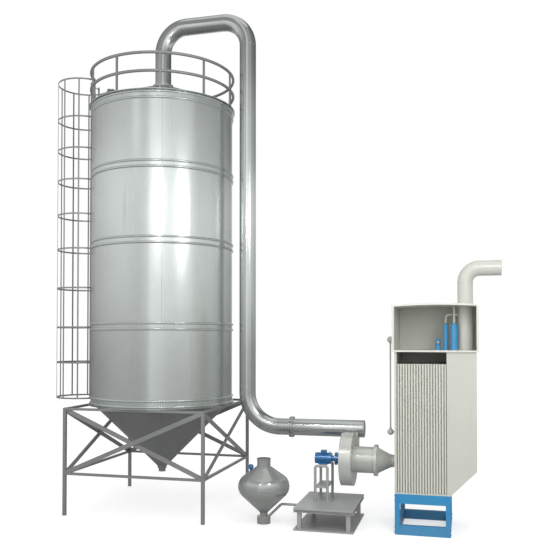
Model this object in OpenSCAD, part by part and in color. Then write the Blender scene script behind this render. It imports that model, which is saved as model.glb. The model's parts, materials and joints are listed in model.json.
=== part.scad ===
// Dry scrubber: reaction tower on a braced frame, gas duct, fan, lamella filter and dust vessel.
// Millimetres, +Z up, the floor is z = 0. Plan positions are measured from the tower's axis,
// +X runs along the fronts towards the filter, and site() moves the whole plant onto its centre.

/* [Tower frame] */
// Distance of the legs' axis inside the shell's outer radius
frame_in = 40; // [20:2:80]
// Side of a square leg
leg_w = 90; // [60:5:160]
// Side of a square beam
beam_w = 70; // [50:5:120]
// Height of the top beams' upper face
frame_h = 3130; // [2600:10:4000]
// Height of the lower beams' middle
low_beam_z = 1215; // [800:5:1600]
// Width of a diagonal brace
brace_w = 125; // [60:5:160]
// Thickness of a diagonal brace
brace_t = 38; // [10:2:42]
// Gap between the two braces where they cross
brace_gap = 4; // [2:1:12]

/* [Tank shell] */
// Outer radius of the shell
tank_r = 2180; // [1700:10:2200]
// Shell thickness
tank_wall = 12; // [6:1:30]
// Height of the lowest course, from joint to joint
course_1_h = 2230; // [1500:10:3000]
// Height of the second course
course_2_h = 2490; // [1500:10:3000]
// Height of the third course
course_3_h = 2185; // [1500:10:3000]
// Height of the top course
course_4_h = 1985; // [1500:10:3000]
// Plain shell above the top joint and below the bottom joint
shell_end_h = 130; // [125:5:300]
// Rolled plates in one course
plates = 8; // [6:1:12]
// Open weld seam between two plates
seam_gap = 3; // [2:0.5:6]
// Height between the two beads of a joint
bead_pitch = 172; // [120:2:180]
// Radius of a half-round bead
bead_r = 34; // [16:1:34]
// Thickness of the strap that covers a joint
strap_t = 8; // [4:1:16]
// Thickness of the bearing ring and of the roof rim
ring_t = 20; // [12:1:40]
// Reach of both rings inside the shell
ring_in = 110; // [60:5:180]
// Reach of both rings beyond the shell
ring_out = 84; // [84:2:120]

/* [Hopper] */
// Slope of the hopper wall
hopper_slope = 45; // [40:1:47]
// Hopper wall thickness
hopper_wall = 10; // [6:1:25]
// Gap between the hopper and the top beams
hopper_clear = 15; // [5:1:40]
// Radius of the hopper's lower end
hopper_low_r = 163; // [150:1:260]
// Outer radius of the outlet flange
outlet_flange_r = 138; // [128:1:148]
// Outer radius of the outlet stub
stub_r = 108; // [70:1:120]
// Bore radius of the outlet stub
stub_bore_r = 98; // [50:1:104]
// Depth of the outlet flange
outlet_flange_h = 92; // [40:2:140]
// Length of the outlet stub
stub_h = 105; // [60:5:200]

/* [Roof] */
// Slope of the roof cone
roof_slope = 22; // [12:1:28]
// Roof plate thickness
roof_wall = 10; // [6:1:25]
// Width of the collar that carries the riser
collar_w = 70; // [40:5:120]
// Height of the collar above the roof plate
collar_h = 70; // [40:5:150]
// Radius of the roof hatch
hatch_r = 95; // [60:5:160]
// Height of the roof hatch above its seat
hatch_h = 110; // [60:5:160]
// Distance of the roof hatch's middle inside the shell's outer radius
hatch_in = 330; // [280:5:700]

/* [Handrail] */
// Diameter of the rails and width of the gate posts
rail_d = 86; // [60:2:90]
// Width of the posts between the gate posts
post_w = 52; // [40:2:58]
// Distance of the rail's axis outside the shell
rail_off = 29; // [24:1:40]
// Height of the top rail's axis above the rim
rail_h = 1040; // [900:10:1200]
// Height of the knee rail's axis above the rim
knee_h = 510; // [350:10:600]
// Slit left for the weld where two lengths of rail meet over a post
rail_slit = 1; // [0.5:0.5:3]
// Angle from post to post
post_step = 34.6; // [30:0.2:38]

/* [Ladder and cage] */
// Radius of the cage hoops
cage_r = 805; // [700:5:900]
// Distance of the cage's axis outside the shell
cage_off = 596; // [450:2:650]
// Angle from cage bar to cage bar
bar_step = 36; // [18:9:36]
// Height of a hoop strap
hoop_h = 50; // [30:2:80]
// Thickness of a hoop strap
hoop_t = 10; // [6:1:16]
// Width of a cage bar
bar_w = 45; // [30:1:60]
// Thickness of a cage bar
bar_t = 14; // [12:1:24]
// Distance between the ladder's stiles, middle to middle
ladder_w = 480; // [400:10:600]
// Distance of the ladder's axis outside the shell
ladder_off = 200; // [150:5:260]
// Depth and width of a stile
stile_d = 56; // [40:2:70]
// Width of a stile
stile_w = 16; // [10:1:30]
// Diameter of a rung
rung_d = 30; // [20:1:40]
// Rise from rung to rung
rung_rise = 300; // [250:10:330]

/* [Gas duct] */
// Outer diameter of the duct
duct_d = 500; // [400:5:560]
// Duct wall
duct_wall = 8; // [4:1:16]
// Height of the top run's axis
duct_top_z = 14940; // [14600:10:15600]
// Height of the low run's axis
duct_low_z = 2516; // [2480:2:2560]
// Distance of the downcomer's axis beyond the shell
downcomer_off = 610; // [520:10:920]
// Centre-line radius of the two top bends
top_bend_r = 780; // [600:10:1000]
// Centre-line radius of the lower bend
low_bend_r = 1000; // [700:10:1100]
// Distance from the end of the low bend to the bolted flange
duct_flange_at = 390; // [310:10:610]
// Outer diameter of the bolted flange
duct_flange_d = 622; // [580:2:760]
// Width of the bolted flange
duct_flange_w = 110; // [60:2:160]
// Reach of the closed end beyond the fan's housing
duct_end_over = 213; // [193:5:313]
// Thickness of the closed end
duct_cap_t = 20; // [10:1:40]

/* [Fan] */
// Fan axis in front of the duct
fan_y = 650; // [600:5:680]
// Height of the fan axis
fan_z = 1730; // [1700:5:1740]
// Radius of the fan housing
fan_r = 738; // [680:2:745]
// Distance from the duct's flange to the housing's motor side
fan_at = 1632; // [1600:2:1680]
// Width of the housing
fan_w = 330; // [300:5:400]
// Depth of the neck that rises from the housing's back into the duct
fan_neck_d = 323; // [200:1:330]
// Reach of the neck beyond the housing's inlet side
neck_over = 45; // [10:1:80]
// Radius of the inlet pipe
inlet_r = 368; // [280:2:400]
// Length of the inlet pipe
inlet_len = 578; // [540:2:640]
// Outer radius of the inlet flange
inlet_flange_r = 440; // [436:1:480]
// Width of the inlet flange
inlet_flange_w = 90; // [40:2:110]
// Length of the inlet cone
inlet_cone_len = 384; // [320:1:480]
// Radius of the stub into the filter
inlet_stub_r = 170; // [100:2:220]
// Wall of the inlet pipe, cone and stub
inlet_wall = 8; // [4:1:16]

/* [Motor] */
// Radius of the motor body
motor_r = 157; // [125:1:175]
// Length of the motor body
motor_len = 466; // [400:2:500]
// Distance from the motor body to the fan housing
motor_gap = 306; // [240:2:330]
// Radius of the neck towards the fan
motor_neck_r = 76; // [50:1:100]
// Radius of the flange on the fan
motor_flange_r = 180; // [160:1:200]
// Width of the flange on the fan
motor_flange_w = 60; // [30:2:90]
// Length of the neck behind the motor body
motor_neck_len = 94; // [60:2:120]
// Side of the terminal box
motor_box_w = 160; // [100:5:200]
// Height of the terminal box above the body
motor_box_h = 62; // [40:2:100]
// Cooling fins round the motor body
motor_fins = 20; // [12:2:28]
// Height of a cooling fin
fin_h = 14; // [6:1:20]

/* [Motor stand] */
// Distance between the stand's posts along the motor
mstand_x = 347; // [300:1:400]
// Distance between the stand's posts across the motor
mstand_y = 834; // [600:2:900]
// Diameter of a stand post
mstand_post_d = 78; // [40:2:90]
// Centre-line radius of the posts' rounded upper corners
mstand_bend_r = 60; // [50:2:120]
// Height of the bent tubes' tops above the plate under the motor
mstand_over = 36; // [10:2:60]
// Thickness of the plate under the motor
mstand_t = 16; // [10:1:30]
// Width of the plate under the motor
mstand_plate_w = 220; // [150:5:240]
// Thickness of the shelf
mstand_shelf_t = 60; // [20:2:90]
// Height of the shelf above the base stand
mstand_shelf_h = 350; // [250:10:600]

/* [Base stand] */
// Reach of the stand's left edge before the fan's housing
base_before = 1111; // [1050:1:1160]
// Length of the stand
base_l = 1626; // [1500:2:1700]
// Distance of the stand's front edge in front of the duct
base_y = 2127; // [2000:1:2200]
// Depth of the stand
base_d = 2209; // [2000:1:2300]
// Height of the stand's top
base_h = 600; // [500:5:700]
// Thickness of the top plate
base_plate_t = 25; // [15:1:40]
// Height of the edge channel under the top plate
channel_h = 85; // [60:5:140]
// Flange width of the edge channel
channel_w = 85; // [40:5:95]
// Thickness of the edge channel
channel_t = 12; // [8:1:18]
// Side of a stand post
base_post_w = 110; // [80:2:140]
// Distance of the posts from the stand's edge
base_post_in = 90; // [60:2:150]
// Thickness of the bottom plate
base_foot_t = 40; // [20:1:60]

/* [Filter casing] */
// Length of the plain pipe between the inlet cone and the filter's left side
inlet_stub_len = 190; // [150:2:500]
// Distance of the filter's front in front of the duct
filter_y = 1835; // [1700:5:2000]
// Depth of the filter
filter_d = 1900; // [1700:10:2200]
// Width of the stand and of the lamella bay over it
bay_w = 1440; // [1300:5:1600]
// Width of the plain chamber beside the bay
chamber_w = 665; // [500:5:800]
// Height of the stand
fstand_h = 1072; // [900:2:1200]
// Width of a stand post
fstand_post = 128; // [80:2:160]
// Height of a stand beam
fstand_beam = 255; // [120:5:300]
// Depth of the stand's frames and of its side beams
fstand_t = 120; // [60:5:160]
// Height of the casing above the stand
casing_h = 3732; // [3400:2:4200]
// Thickness of the casing's left and back walls
wall_t = 60; // [20:1:80]
// Thickness of the wall between the bay and the chamber
partition_t = 91; // [40:1:110]
// Thickness of the casing floor
floor_t = 30; // [12:1:60]
// Rise of the chamber's slanted underside
chamber_rise = 660; // [400:5:800]
// Lamellae in the bay
lamellae = 18; // [12:1:24]
// Thickness of a lamella
lamella_t = 44; // [20:1:50]
// Height of a lamella
lamella_h = 3380; // [2800:10:3400]
// Distance of the lamellae behind the front
lamella_in = 34; // [10:1:80]
// Distance of the lamellae before the back wall
lamella_back = 120; // [60:5:300]

/* [Filter hood] */
// Overhang of the hood beyond the casing at the sides
hood_over = 60; // [40:2:120]
// Overhang of the hood at the front and back
hood_over_y = 50; // [20:2:100]
// Thickness of the hood's floor, roof and back wall
hood_t = 45; // [20:1:60]
// Thickness of the hood's side walls
hood_wall_t = 58; // [30:2:90]
// Height of the hood's sides above the casing
hood_h = 1240; // [900:10:1400]
// Rise of the hood's arched roof
hood_rise = 40; // [30:2:160]

/* [Filter pipes] */
// Outer diameter of the outlet pipe
out_d = 405; // [300:5:420]
// Outlet pipe wall
out_wall = 8; // [4:1:16]
// Distance of the outlet pipe's axis inside the casing's right side
out_in = 276; // [260:1:330]
// Distance of the outlet pipe's axis behind the filter's front
out_y = 835; // [600:5:1000]
// Height of the outlet's axis
out_z = 7047; // [6900:1:7400]
// Centre-line radius of the outlet bend
out_bend_r = 370; // [300:5:480]
// Length of the outlet nozzle past the bend
out_len = 567; // [400:1:700]
// Gap between the outlet pipe and the hood's roof
out_clear = 0.3; // [0.2:0.1:3]
// Distance from the outlet pipe's axis to the wide air cylinder
air_wide_at = 291; // [270:1:340]
// Radius of the wide air cylinder
air_wide_r = 93; // [60:1:100]
// Distance of the wide air cylinder in front of the outlet pipe's axis
air_wide_front = 200; // [170:2:260]
// Distance from the outlet pipe's axis to the narrow air cylinder
air_narrow_at = 512; // [480:2:560]
// Radius of the narrow air cylinder
air_narrow_r = 67; // [45:1:75]
// Height of both air cylinders
air_h = 720; // [500:10:760]
// Distance from the outlet pipe's axis to the drain pot
air_pot_at = 720; // [690:1:760]
// Radius of the drain pot
air_pot_r = 67; // [40:1:75]
// Height of the drain pot
air_pot_h = 315; // [150:5:360]
// Diameter of the air pipes
air_pipe_d = 60; // [30:1:66]
// Height of the cross pipe above the hood's floor
air_cross_h = 950; // [850:5:1000]
// Diameter of the sight tube
sight_d = 44; // [30:1:70]
// Radius of the sight tube's ball fittings
sight_ball_r = 88; // [50:1:100]
// Height of the upper ball fitting above the casing
sight_top_h = 325; // [150:5:500]
// Height of the lower ball fitting above the stand
sight_low_h = 1550; // [1000:10:2200]
// Distance of the sight tube behind the filter's front
sight_y = 560; // [90:5:700]
// Gap between the ball fittings and the hood
sight_gap = 5; // [5:1:40]

/* [Dust vessel] */
// Distance of the vessel's axis before the base stand's left edge
vessel_before = 971; // [920:1:1050]
// Distance of the vessel in front of the duct
vessel_y = 1544; // [1450:2:1700]
// Largest radius of the vessel
vessel_r = 719; // [640:1:760]
// Radius of the belly's curve
belly_r = 356; // [300:1:380]
// Height of the belly's widest line
belly_z = 1028; // [990:2:1080]
// Slope of the vessel's lower cone
cone_slope = 43.2; // [38:0.2:46]
// Slope of the vessel's shoulder
shoulder_slope = 35.7; // [30:0.1:42]
// Radius of the vessel's neck
neck_r = 188; // [150:1:220]
// Height of the vessel's mouth
mouth_z = 1805; // [1720:5:1900]
// Radius of the throat above the foot
throat_r = 108; // [90:1:130]
// Vessel wall
vessel_wall = 10; // [6:1:20]
// Radius of the foot
foot_r = 188; // [160:1:240]
// Height of the foot
foot_h = 205; // [180:5:240]
// Radius of the valve ball
valve_r = 75; // [50:1:90]
// Distance of the valve from the vessel's axis
valve_at = 375; // [330:5:450]
// Height of the valve ball above the shoulder
valve_h = 95; // [75:1:130]
// Diameter of the conveying pipe
convey_d = 70; // [50:1:84]
// Wall of the socket on the conveying pipe's bend
socket_t = 4; // [3:0.5:8]

/* [Hidden] */
$fn = 96;
fine = 720;
eps = 1;
// Heights of the tower
shell_z = frame_h + ring_t;
joint_zs = [for (h = [0, course_1_h, course_1_h + course_2_h, course_1_h + course_2_h + course_3_h,
                 course_1_h + course_2_h + course_3_h + course_4_h]) shell_z + shell_end_h + h];
shell_top = joint_zs[4] + shell_end_h;
rim_z = shell_top + ring_t;
course_low = [shell_z, joint_zs[1], joint_zs[2], joint_zs[3]];
course_top = [joint_zs[1], joint_zs[2], joint_zs[3], shell_top];
plate_step = 360 / plates;
// Frame and hopper
frame_half = tank_r - frame_in;
hopper_top_r = frame_half - beam_w / 2 - hopper_clear;
hopper_low_z = frame_h - (hopper_top_r - hopper_low_r) * tan(hopper_slope);
// Roof
duct_r = duct_d / 2;
collar_r = duct_r + collar_w;
roof_top_z = rim_z + (tank_r - collar_r) * tan(roof_slope);
collar_z = roof_top_z + collar_h;
hatch_at = tank_r - hatch_in;
hatch_z = rim_z + hatch_in * tan(roof_slope);
// Handrail and cage
rail_r = tank_r + rail_off;
rail_z = rim_z + rail_h;
cage_x = tank_r + cage_off;
function meet_angle(r) = acos((cage_x * cage_x + cage_r * cage_r - r * r) / (2 * cage_x * cage_r));
rail_meet = meet_angle(rail_r);
gate_a = atan2(cage_r * sin(rail_meet), cage_x - cage_r * cos(rail_meet));
posts_side = floor((180 - 2 * gate_a) / post_step);
post_angles = [for (k = [-posts_side : posts_side]) 180 + k * post_step];
gate_half_a = asin(rail_d / 2 / (rail_r - rail_d / 2));
slit_half_a = asin(rail_slit / 2 / rail_r);
rail_ends = concat([gate_a + gate_half_a - slit_half_a], post_angles, [360 - gate_a - gate_half_a + slit_half_a]);
bars_side = floor((180 - meet_angle(tank_r) - 12) / bar_step);
bar_half_a = asin(bar_w / 2 / cage_r);
ladder_x = tank_r + ladder_off;
ladder_low_z = joint_zs[0] - hoop_h / 2;
ladder_top_z = rail_z + hoop_h / 2;
// Duct
duct_bore = duct_r - duct_wall;
downcomer_x = tank_r + downcomer_off;
low_run_x = downcomer_x + low_bend_r;
duct_flange_x = low_run_x + duct_flange_at;
flange_x0 = duct_flange_x - duct_flange_w / 2;
flange_x1 = duct_flange_x + duct_flange_w / 2;
// Fan line
fan_x = duct_flange_x + fan_at;
fan_x1 = fan_x + fan_w;
duct_end_x = fan_x1 + duct_end_over;
inlet_flange_x = fan_x1 + inlet_len;
inlet_cone_x = inlet_flange_x + inlet_flange_w;
inlet_stub_x = inlet_cone_x + inlet_cone_len;
reducer_drop = inlet_r - inlet_stub_r;
reducer_r = (inlet_cone_len * inlet_cone_len + reducer_drop * reducer_drop) / (4 * reducer_drop);
base_x = fan_x - base_before;
vessel_x = base_x - vessel_before;
neck_y0 = max(fan_r - fan_y - fan_neck_d, 12 - duct_r);
motor_x1 = fan_x - motor_gap;
motor_x0 = motor_x1 - motor_len;
mstand_mid = (motor_x0 + motor_x1) / 2;
mstand_top = fan_z - motor_r;
mstand_bar_z = mstand_top + mstand_over - mstand_post_d / 2;
// Filter
filter_x = inlet_stub_x + inlet_stub_len;
casing_top = fstand_h + casing_h;
chamber_x0 = filter_x + bay_w;
chamber_x1 = chamber_x0 + chamber_w;
hood_x0 = filter_x - hood_over;
hood_x1 = chamber_x1 + hood_over;
hood_mid = (hood_x0 + hood_x1) / 2;
hood_half = (hood_x1 - hood_x0) / 2;
hood_floor_z = casing_top + hood_t;
arch_r = (hood_half * hood_half + hood_rise * hood_rise) / (2 * hood_rise);
arch_z = casing_top + hood_h + hood_rise - arch_r;
function arch_top(x) = arch_z + sqrt(arch_r * arch_r - pow(x - hood_mid, 2));
roof_bends = 12;
arch_xs = [for (i = [0:roof_bends]) hood_x0 + i * (hood_x1 - hood_x0) / roof_bends];
arch_line = [for (x = arch_xs) [x, arch_top(x) - hood_t]];
hood_y0 = -filter_y - hood_over_y;
hood_d = filter_d + 2 * hood_over_y;
bay_x0 = filter_x + wall_t;
bay_x1 = chamber_x0 - partition_t;
lamella_step = (bay_x1 - bay_x0) / lamellae;
out_x = chamber_x1 - out_in;
out_at_y = out_y - filter_y;
out_r = out_d / 2;
sight_x = hood_x0 - sight_ball_r - sight_gap;
sight_zs = [fstand_h + sight_low_h, casing_top + sight_top_h];
// Vessel: the wall's lines touch the belly's circle
belly_at = vessel_r - belly_r;
cone_n = [sin(cone_slope), -cos(cone_slope)];
shoulder_n = [sin(shoulder_slope), cos(shoulder_slope)];
function line_z(n, r, inset) = (n * [belly_at, belly_z] + belly_r - inset - n[0] * r) / n[1];
valve_z = line_z(shoulder_n, valve_at, 0) + valve_h;
convey_z = base_h - base_plate_t - convey_d / 4;
// Plant extents, so that the origin lies under the middle of the whole plant
plant_x0 = -(cage_x + cage_r + bar_t / 2);
plant_x1 = max(out_x + out_bend_r + out_len, hood_x1);
plant_y0 = min(-vessel_y - vessel_r, -base_y, -tank_r - ring_out, hood_y0, -frame_half - leg_w / 2);
plant_y1 = max(tank_r + ring_out, rail_r + rail_d / 2, frame_half + leg_w / 2, hood_y0 + hood_d);
mid_x = (plant_x0 + plant_x1) / 2;
mid_y = (plant_y0 + plant_y1) / 2;

steel = "#8d9292";
shell_grey = "#b9bfba";
dark_grey = "#6d7274";
duct_grey = "#a6aba8";
warm_grey = "#cdcec4";
hood_grey = "#9a9d9c";
motor_blue = "#1f4f8f";
stand_blue = "#3d90bd";
air_blue = "#4aa3cf";

// Helpers

module site() translate([-mid_x, -mid_y, 0]) children();

// Copies on the four sides of the tower frame
module four_sides() for (a = [0:90:270]) rotate(a) children();

// A bar of square section along X, from x0 to x1
module bar_x(x0, x1, y, z, w) translate([x0, y - w / 2, z - w / 2]) cube([x1 - x0, w, w]);

// Turns a profile of [radius, height] about the tower's axis
module turned(points) rotate_extrude() polygon(points);

// Cuts a turned wall into rolled plates with open seams
module rolled(r, z0, z1, phase) difference() {
    children();
    for (k = [0:plates - 1]) rotate((k + phase) * plate_step)
        translate([0, -seam_gap / 2, z0 - eps]) cube([r + eps, seam_gap, z1 - z0 + 2 * eps]);
}

// A round tube along Z
module tube(r, wall, h) difference() {
    cylinder(r = r, h = h);
    translate([0, 0, -eps]) cylinder(r = r - wall, h = h + 2 * eps);
}

// A round tube along +X from x0 to x1
module tube_x(r, wall, x0, x1, z) translate([x0, 0, z]) rotate([0, 90, 0]) tube(r, wall, x1 - x0);

// A quarter bend of a round tube: from straight up at the origin to level along +X
module quarter_bend(r, wall, bend_r) translate([bend_r, 0, 0]) rotate([90, 0, 0])
    rotate([0, 0, 90]) rotate_extrude(angle = 90) translate([bend_r, 0]) difference() {
        circle(r = r);
        circle(r = r - wall);
    }

// Tower frame

module frame_legs() color(steel) four_sides()
    translate([frame_half - leg_w / 2, frame_half - leg_w / 2, 0]) cube([leg_w, leg_w, frame_h]);

module frame_beams() color(steel) four_sides() for (z = [low_beam_z, frame_h - beam_w / 2])
    bar_x(-frame_half + leg_w / 2, frame_half - leg_w / 2, -frame_half, z, beam_w);

// One diagonal in the bay of a side, cut to the legs and beams; up is 1 or -1
module brace(up) {
    bay_l = 2 * frame_half - leg_w;
    bay_z0 = low_beam_z + beam_w / 2;
    bay_h = frame_h - beam_w - bay_z0;
    rotate([90, 0, 0]) linear_extrude(brace_t) intersection() {
        translate([-bay_l / 2, bay_z0]) square([bay_l, bay_h]);
        translate([0, bay_z0 + bay_h / 2]) rotate(up * atan2(bay_h, bay_l))
            translate([-bay_l, -brace_w / 2]) square([2 * bay_l, brace_w]);
    }
}

module frame_braces() color(steel) four_sides() {
    translate([0, -frame_half - brace_gap / 2, 0]) brace(1);
    translate([0, -frame_half + brace_gap / 2 + brace_t, 0]) brace(-1);
}

// Hopper

module bearing_ring() color(shell_grey) rolled(tank_r + ring_out, frame_h, shell_z, 0) turned([
    [tank_r - ring_in, frame_h], [tank_r + ring_out, frame_h],
    [tank_r + ring_out, shell_z], [tank_r - ring_in, shell_z]]);

module hopper_cone() {
    wall_r = hopper_wall / cos(90 - hopper_slope);
    color(dark_grey) rolled(hopper_top_r, hopper_low_z, frame_h, 0.5) turned([
        [hopper_low_r, hopper_low_z], [hopper_top_r, frame_h],
        [hopper_top_r - wall_r, frame_h], [hopper_low_r - wall_r, hopper_low_z]]);
}

module hopper_outlet() color(dark_grey) difference() {
    z1 = hopper_low_z - outlet_flange_h;
    turned([[0, hopper_low_z], [hopper_low_r, hopper_low_z], [hopper_low_r, hopper_low_z - ring_t],
        [outlet_flange_r, hopper_low_z - ring_t], [outlet_flange_r, z1], [stub_r, z1],
        [stub_r, z1 - stub_h], [0, z1 - stub_h]]);
    translate([0, 0, z1 - stub_h - eps]) cylinder(r = stub_bore_r, h = outlet_flange_h + stub_h + 2 * eps);
}

// Tank shell

module shell_course(i) color(shell_grey) rolled(tank_r, course_low[i], course_top[i], i % 2 / 2) turned([
    [tank_r - tank_wall, course_low[i]], [tank_r, course_low[i]],
    [tank_r, course_top[i]], [tank_r - tank_wall, course_top[i]]]);

module shell_course_1() shell_course(0);
module shell_course_2() shell_course(1);
module shell_course_3() shell_course(2);
module shell_course_4() shell_course(3);

// Each joint is covered by a strap with two half-round beads
module joint_rings() color(shell_grey) for (z = joint_zs) translate([0, 0, z]) rotate_extrude() {
    translate([tank_r, -bead_pitch / 2 - bead_r]) square([strap_t, bead_pitch + 2 * bead_r]);
    for (s = [-1, 1]) intersection() {
        translate([tank_r + strap_t, s * bead_pitch / 2]) circle(r = bead_r);
        translate([tank_r + strap_t / 2, s * bead_pitch / 2 - bead_r]) square([2 * bead_r, 2 * bead_r]);
    }
}

// Roof

module roof_rim() color(shell_grey) rolled(tank_r + ring_out, shell_top, rim_z, 0.25) turned([
    [tank_r - ring_in, shell_top], [tank_r + ring_out, shell_top],
    [tank_r + ring_out, rim_z], [tank_r - ring_in, rim_z]]);

module roof_cone() {
    wall_z = roof_wall / cos(roof_slope);
    wall_r = roof_wall / sin(roof_slope);
    color(shell_grey) rolled(tank_r, rim_z, roof_top_z, 0.75) turned([
        [tank_r - wall_r, rim_z], [tank_r, rim_z],
        [collar_r, roof_top_z], [collar_r, roof_top_z - wall_z]]);
}

// The collar closes the roof round the riser: a tube with a seat for the riser on top
module roof_collar() color(shell_grey) difference() {
    translate([0, 0, roof_top_z - collar_h]) cylinder(r = collar_r, h = 2 * collar_h);
    translate([0, 0, roof_top_z - collar_h - eps]) cylinder(r = duct_bore, h = 2 * (collar_h + eps));
}

module roof_hatch() color(dark_grey) rotate(-122) difference() {
    translate([hatch_at, 0, hatch_z - hatch_r]) cylinder(r = hatch_r, h = hatch_r + hatch_h);
    turned([[0, rim_z - 2 * hatch_r], [tank_r + hatch_r, rim_z - 2 * hatch_r],
        [tank_r + hatch_r, rim_z - hatch_r * tan(roof_slope)], [0, rim_z + tank_r * tan(roof_slope)]]);
}

// Handrail: angles run from the ladder side, -X, round the tower

module rail_post(w, h) translate([-rail_r - w / 2, -w / 2, rim_z]) cube([w, w, h]);

module rail_arc(z, a, turn) translate([0, 0, rim_z + z]) rotate(180 + a) rotate_extrude(angle = turn)
    translate([rail_r, 0]) circle(d = rail_d);

// The rails run through from gate post to gate post; the posts between meet them from below
module handrail_posts() color(steel) {
    for (s = [-1, 1]) rotate(s * gate_a) rail_post(rail_d, rail_h + rail_d / 2);
    for (a = post_angles) difference() {
        rotate(a) rail_post(post_w, rail_h);
        for (z = [knee_h, rail_h]) rail_arc(z, a - gate_a, 2 * gate_a);
    }
}

module handrail_rails() color(steel) for (i = [0:len(rail_ends) - 2], z = [knee_h, rail_h])
    rail_arc(z, rail_ends[i] + slit_half_a, rail_ends[i + 1] - rail_ends[i] - 2 * slit_half_a);

// Ladder and cage

module ladder() color(steel) for (s = [-1, 1])
    translate([-ladder_x - stile_d / 2, s * ladder_w / 2 - stile_w / 2, ladder_low_z])
        cube([stile_d, stile_w, ladder_top_z - ladder_low_z]);

module ladder_rungs() color(steel)
    for (z = [ladder_low_z + rung_rise / 2 : rung_rise : ladder_top_z - rung_d]) translate([-ladder_x, 0, z])
        rotate([90, 0, 0]) cylinder(d = rung_d, h = ladder_w - stile_w, center = true);

// Each stile is held to the shell's joints and to the rim
module ladder_brackets() color(steel) difference() {
    for (z = joint_zs, s = [-1, 1])
        translate([-ladder_x + stile_d / 2, s * ladder_w / 2 - stile_w / 2, z - hoop_h / 2])
            cube([ladder_off, stile_w, hoop_h]);
    cylinder(r = tank_r + strap_t, h = rail_z, $fn = fine);
}

// Straps of one hoop, from bar to bar and on to the wall or to the gate posts
module hoop(z, wall_r, gate) translate([0, 0, z - hoop_h / 2]) difference() {
    translate([-cage_x, 0, 0]) for (s = [-1, 1], k = [0:bars_side]) {
        a0 = k * bar_step + bar_half_a;
        a1 = k < bars_side ? (k + 1) * bar_step - bar_half_a : 180 - meet_angle(wall_r - 2 * hoop_t);
        rotate(s > 0 ? 180 - a1 : 180 + a0) rotate_extrude(angle = a1 - a0)
            translate([cage_r - hoop_t / 2, 0]) square([hoop_t, hoop_h]);
    }
    if (!gate) translate([0, 0, -eps]) cylinder(r = wall_r, h = hoop_h + 2 * eps, $fn = fine);
    if (gate) for (s = [-1, 1]) rotate(s * gate_a) translate([-rail_r - rail_d / 2, -rail_d / 2, -eps])
        cube([2 * rail_d, 2 * rail_d, hoop_h + 2 * eps]);
}

module cage_hoops() color(steel) {
    for (i = [0:4]) hoop(joint_zs[i], tank_r + strap_t, false);
    for (i = [0:3]) hoop((joint_zs[i] + joint_zs[i + 1]) / 2, tank_r, false);
    hoop(rail_z, rail_r, true);
}

module cage_bars() color(steel) translate([-cage_x, 0, ladder_low_z])
    for (k = [-bars_side:bars_side]) rotate(180 + k * bar_step)
        translate([cage_r - bar_t / 2, -bar_w / 2, 0]) cube([bar_t, bar_w, ladder_top_z - ladder_low_z]);

// Gas duct

module duct_riser() color(duct_grey) translate([0, 0, collar_z])
    tube(duct_r, duct_wall, duct_top_z - top_bend_r - collar_z);

module duct_bends() color(duct_grey) {
    translate([0, 0, duct_top_z - top_bend_r]) quarter_bend(duct_r, duct_wall, top_bend_r);
    translate([downcomer_x, 0, duct_top_z - top_bend_r]) mirror([1, 0, 0])
        quarter_bend(duct_r, duct_wall, top_bend_r);
    translate([downcomer_x, 0, duct_low_z + low_bend_r]) mirror([0, 0, 1])
        quarter_bend(duct_r, duct_wall, low_bend_r);
}

module duct_top_run() color(duct_grey)
    tube_x(duct_r, duct_wall, top_bend_r, downcomer_x - top_bend_r, duct_top_z);

module duct_downcomer() color(duct_grey) translate([downcomer_x, 0, duct_low_z + low_bend_r])
    tube(duct_r, duct_wall, duct_top_z - top_bend_r - duct_low_z - low_bend_r);

module duct_low_run() color(duct_grey) {
    tube_x(duct_r, duct_wall, low_run_x, flange_x0, duct_low_z);
    tube_x(duct_r, duct_wall, flange_x1, duct_end_x - duct_cap_t, duct_low_z);
}

module duct_flange() color(duct_grey)
    tube_x(duct_flange_d / 2, duct_flange_d / 2 - duct_bore, flange_x0, flange_x1, duct_low_z);

module duct_end_cap() color(dark_grey) translate([duct_end_x - duct_cap_t, 0, duct_low_z])
    rotate([0, 90, 0]) cylinder(r = duct_r, h = duct_cap_t);

// Fan

// The scroll: a round drum whose back rises as a neck into the duct's underside
module fan_housing() color(duct_grey) difference() {
    translate([fan_x, 0, 0]) rotate([90, 0, 90]) {
        linear_extrude(fan_w) translate([-fan_y, fan_z]) circle(r = fan_r);
        linear_extrude(fan_w + neck_over) translate([neck_y0, fan_z])
            square([fan_r - fan_y - neck_y0, duct_low_z - fan_z]);
    }
    translate([fan_x - eps, 0, duct_low_z]) rotate([0, 90, 0])
        cylinder(r = duct_r, h = fan_w + neck_over + 2 * eps);
}

module fan_line() translate([0, -fan_y, fan_z]) rotate([0, 90, 0]) children();

// Inlet pipe with its rounded flange
module fan_inlet_pipe() color(duct_grey) fan_line() {
    translate([0, 0, fan_x1]) tube(inlet_r, inlet_wall, inlet_len);
    translate([0, 0, inlet_flange_x])
        tube(inlet_flange_r, inlet_flange_r - inlet_r + inlet_wall, inlet_flange_w);
}

// Half section of the reducer's outer face, drawn in by inset: an arc out, an arc in, and the stub
module reducer_half(inset) {
    turn_x = inlet_cone_x + (reducer_r - inset) * inlet_cone_len / 2 / reducer_r;
    translate([0, inlet_cone_x]) square([inlet_r - reducer_r, turn_x - inlet_cone_x]);
    intersection() {
        translate([inlet_r - reducer_r, inlet_cone_x]) circle(r = reducer_r - inset);
        translate([0, inlet_cone_x]) square([inlet_r, turn_x - inlet_cone_x]);
    }
    difference() {
        translate([0, turn_x]) square([inlet_r, inlet_stub_x - turn_x]);
        translate([inlet_stub_r + reducer_r, inlet_stub_x]) circle(r = reducer_r + inset);
    }
    translate([0, inlet_stub_x]) square([inlet_stub_r - inset, inlet_stub_len]);
}

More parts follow.
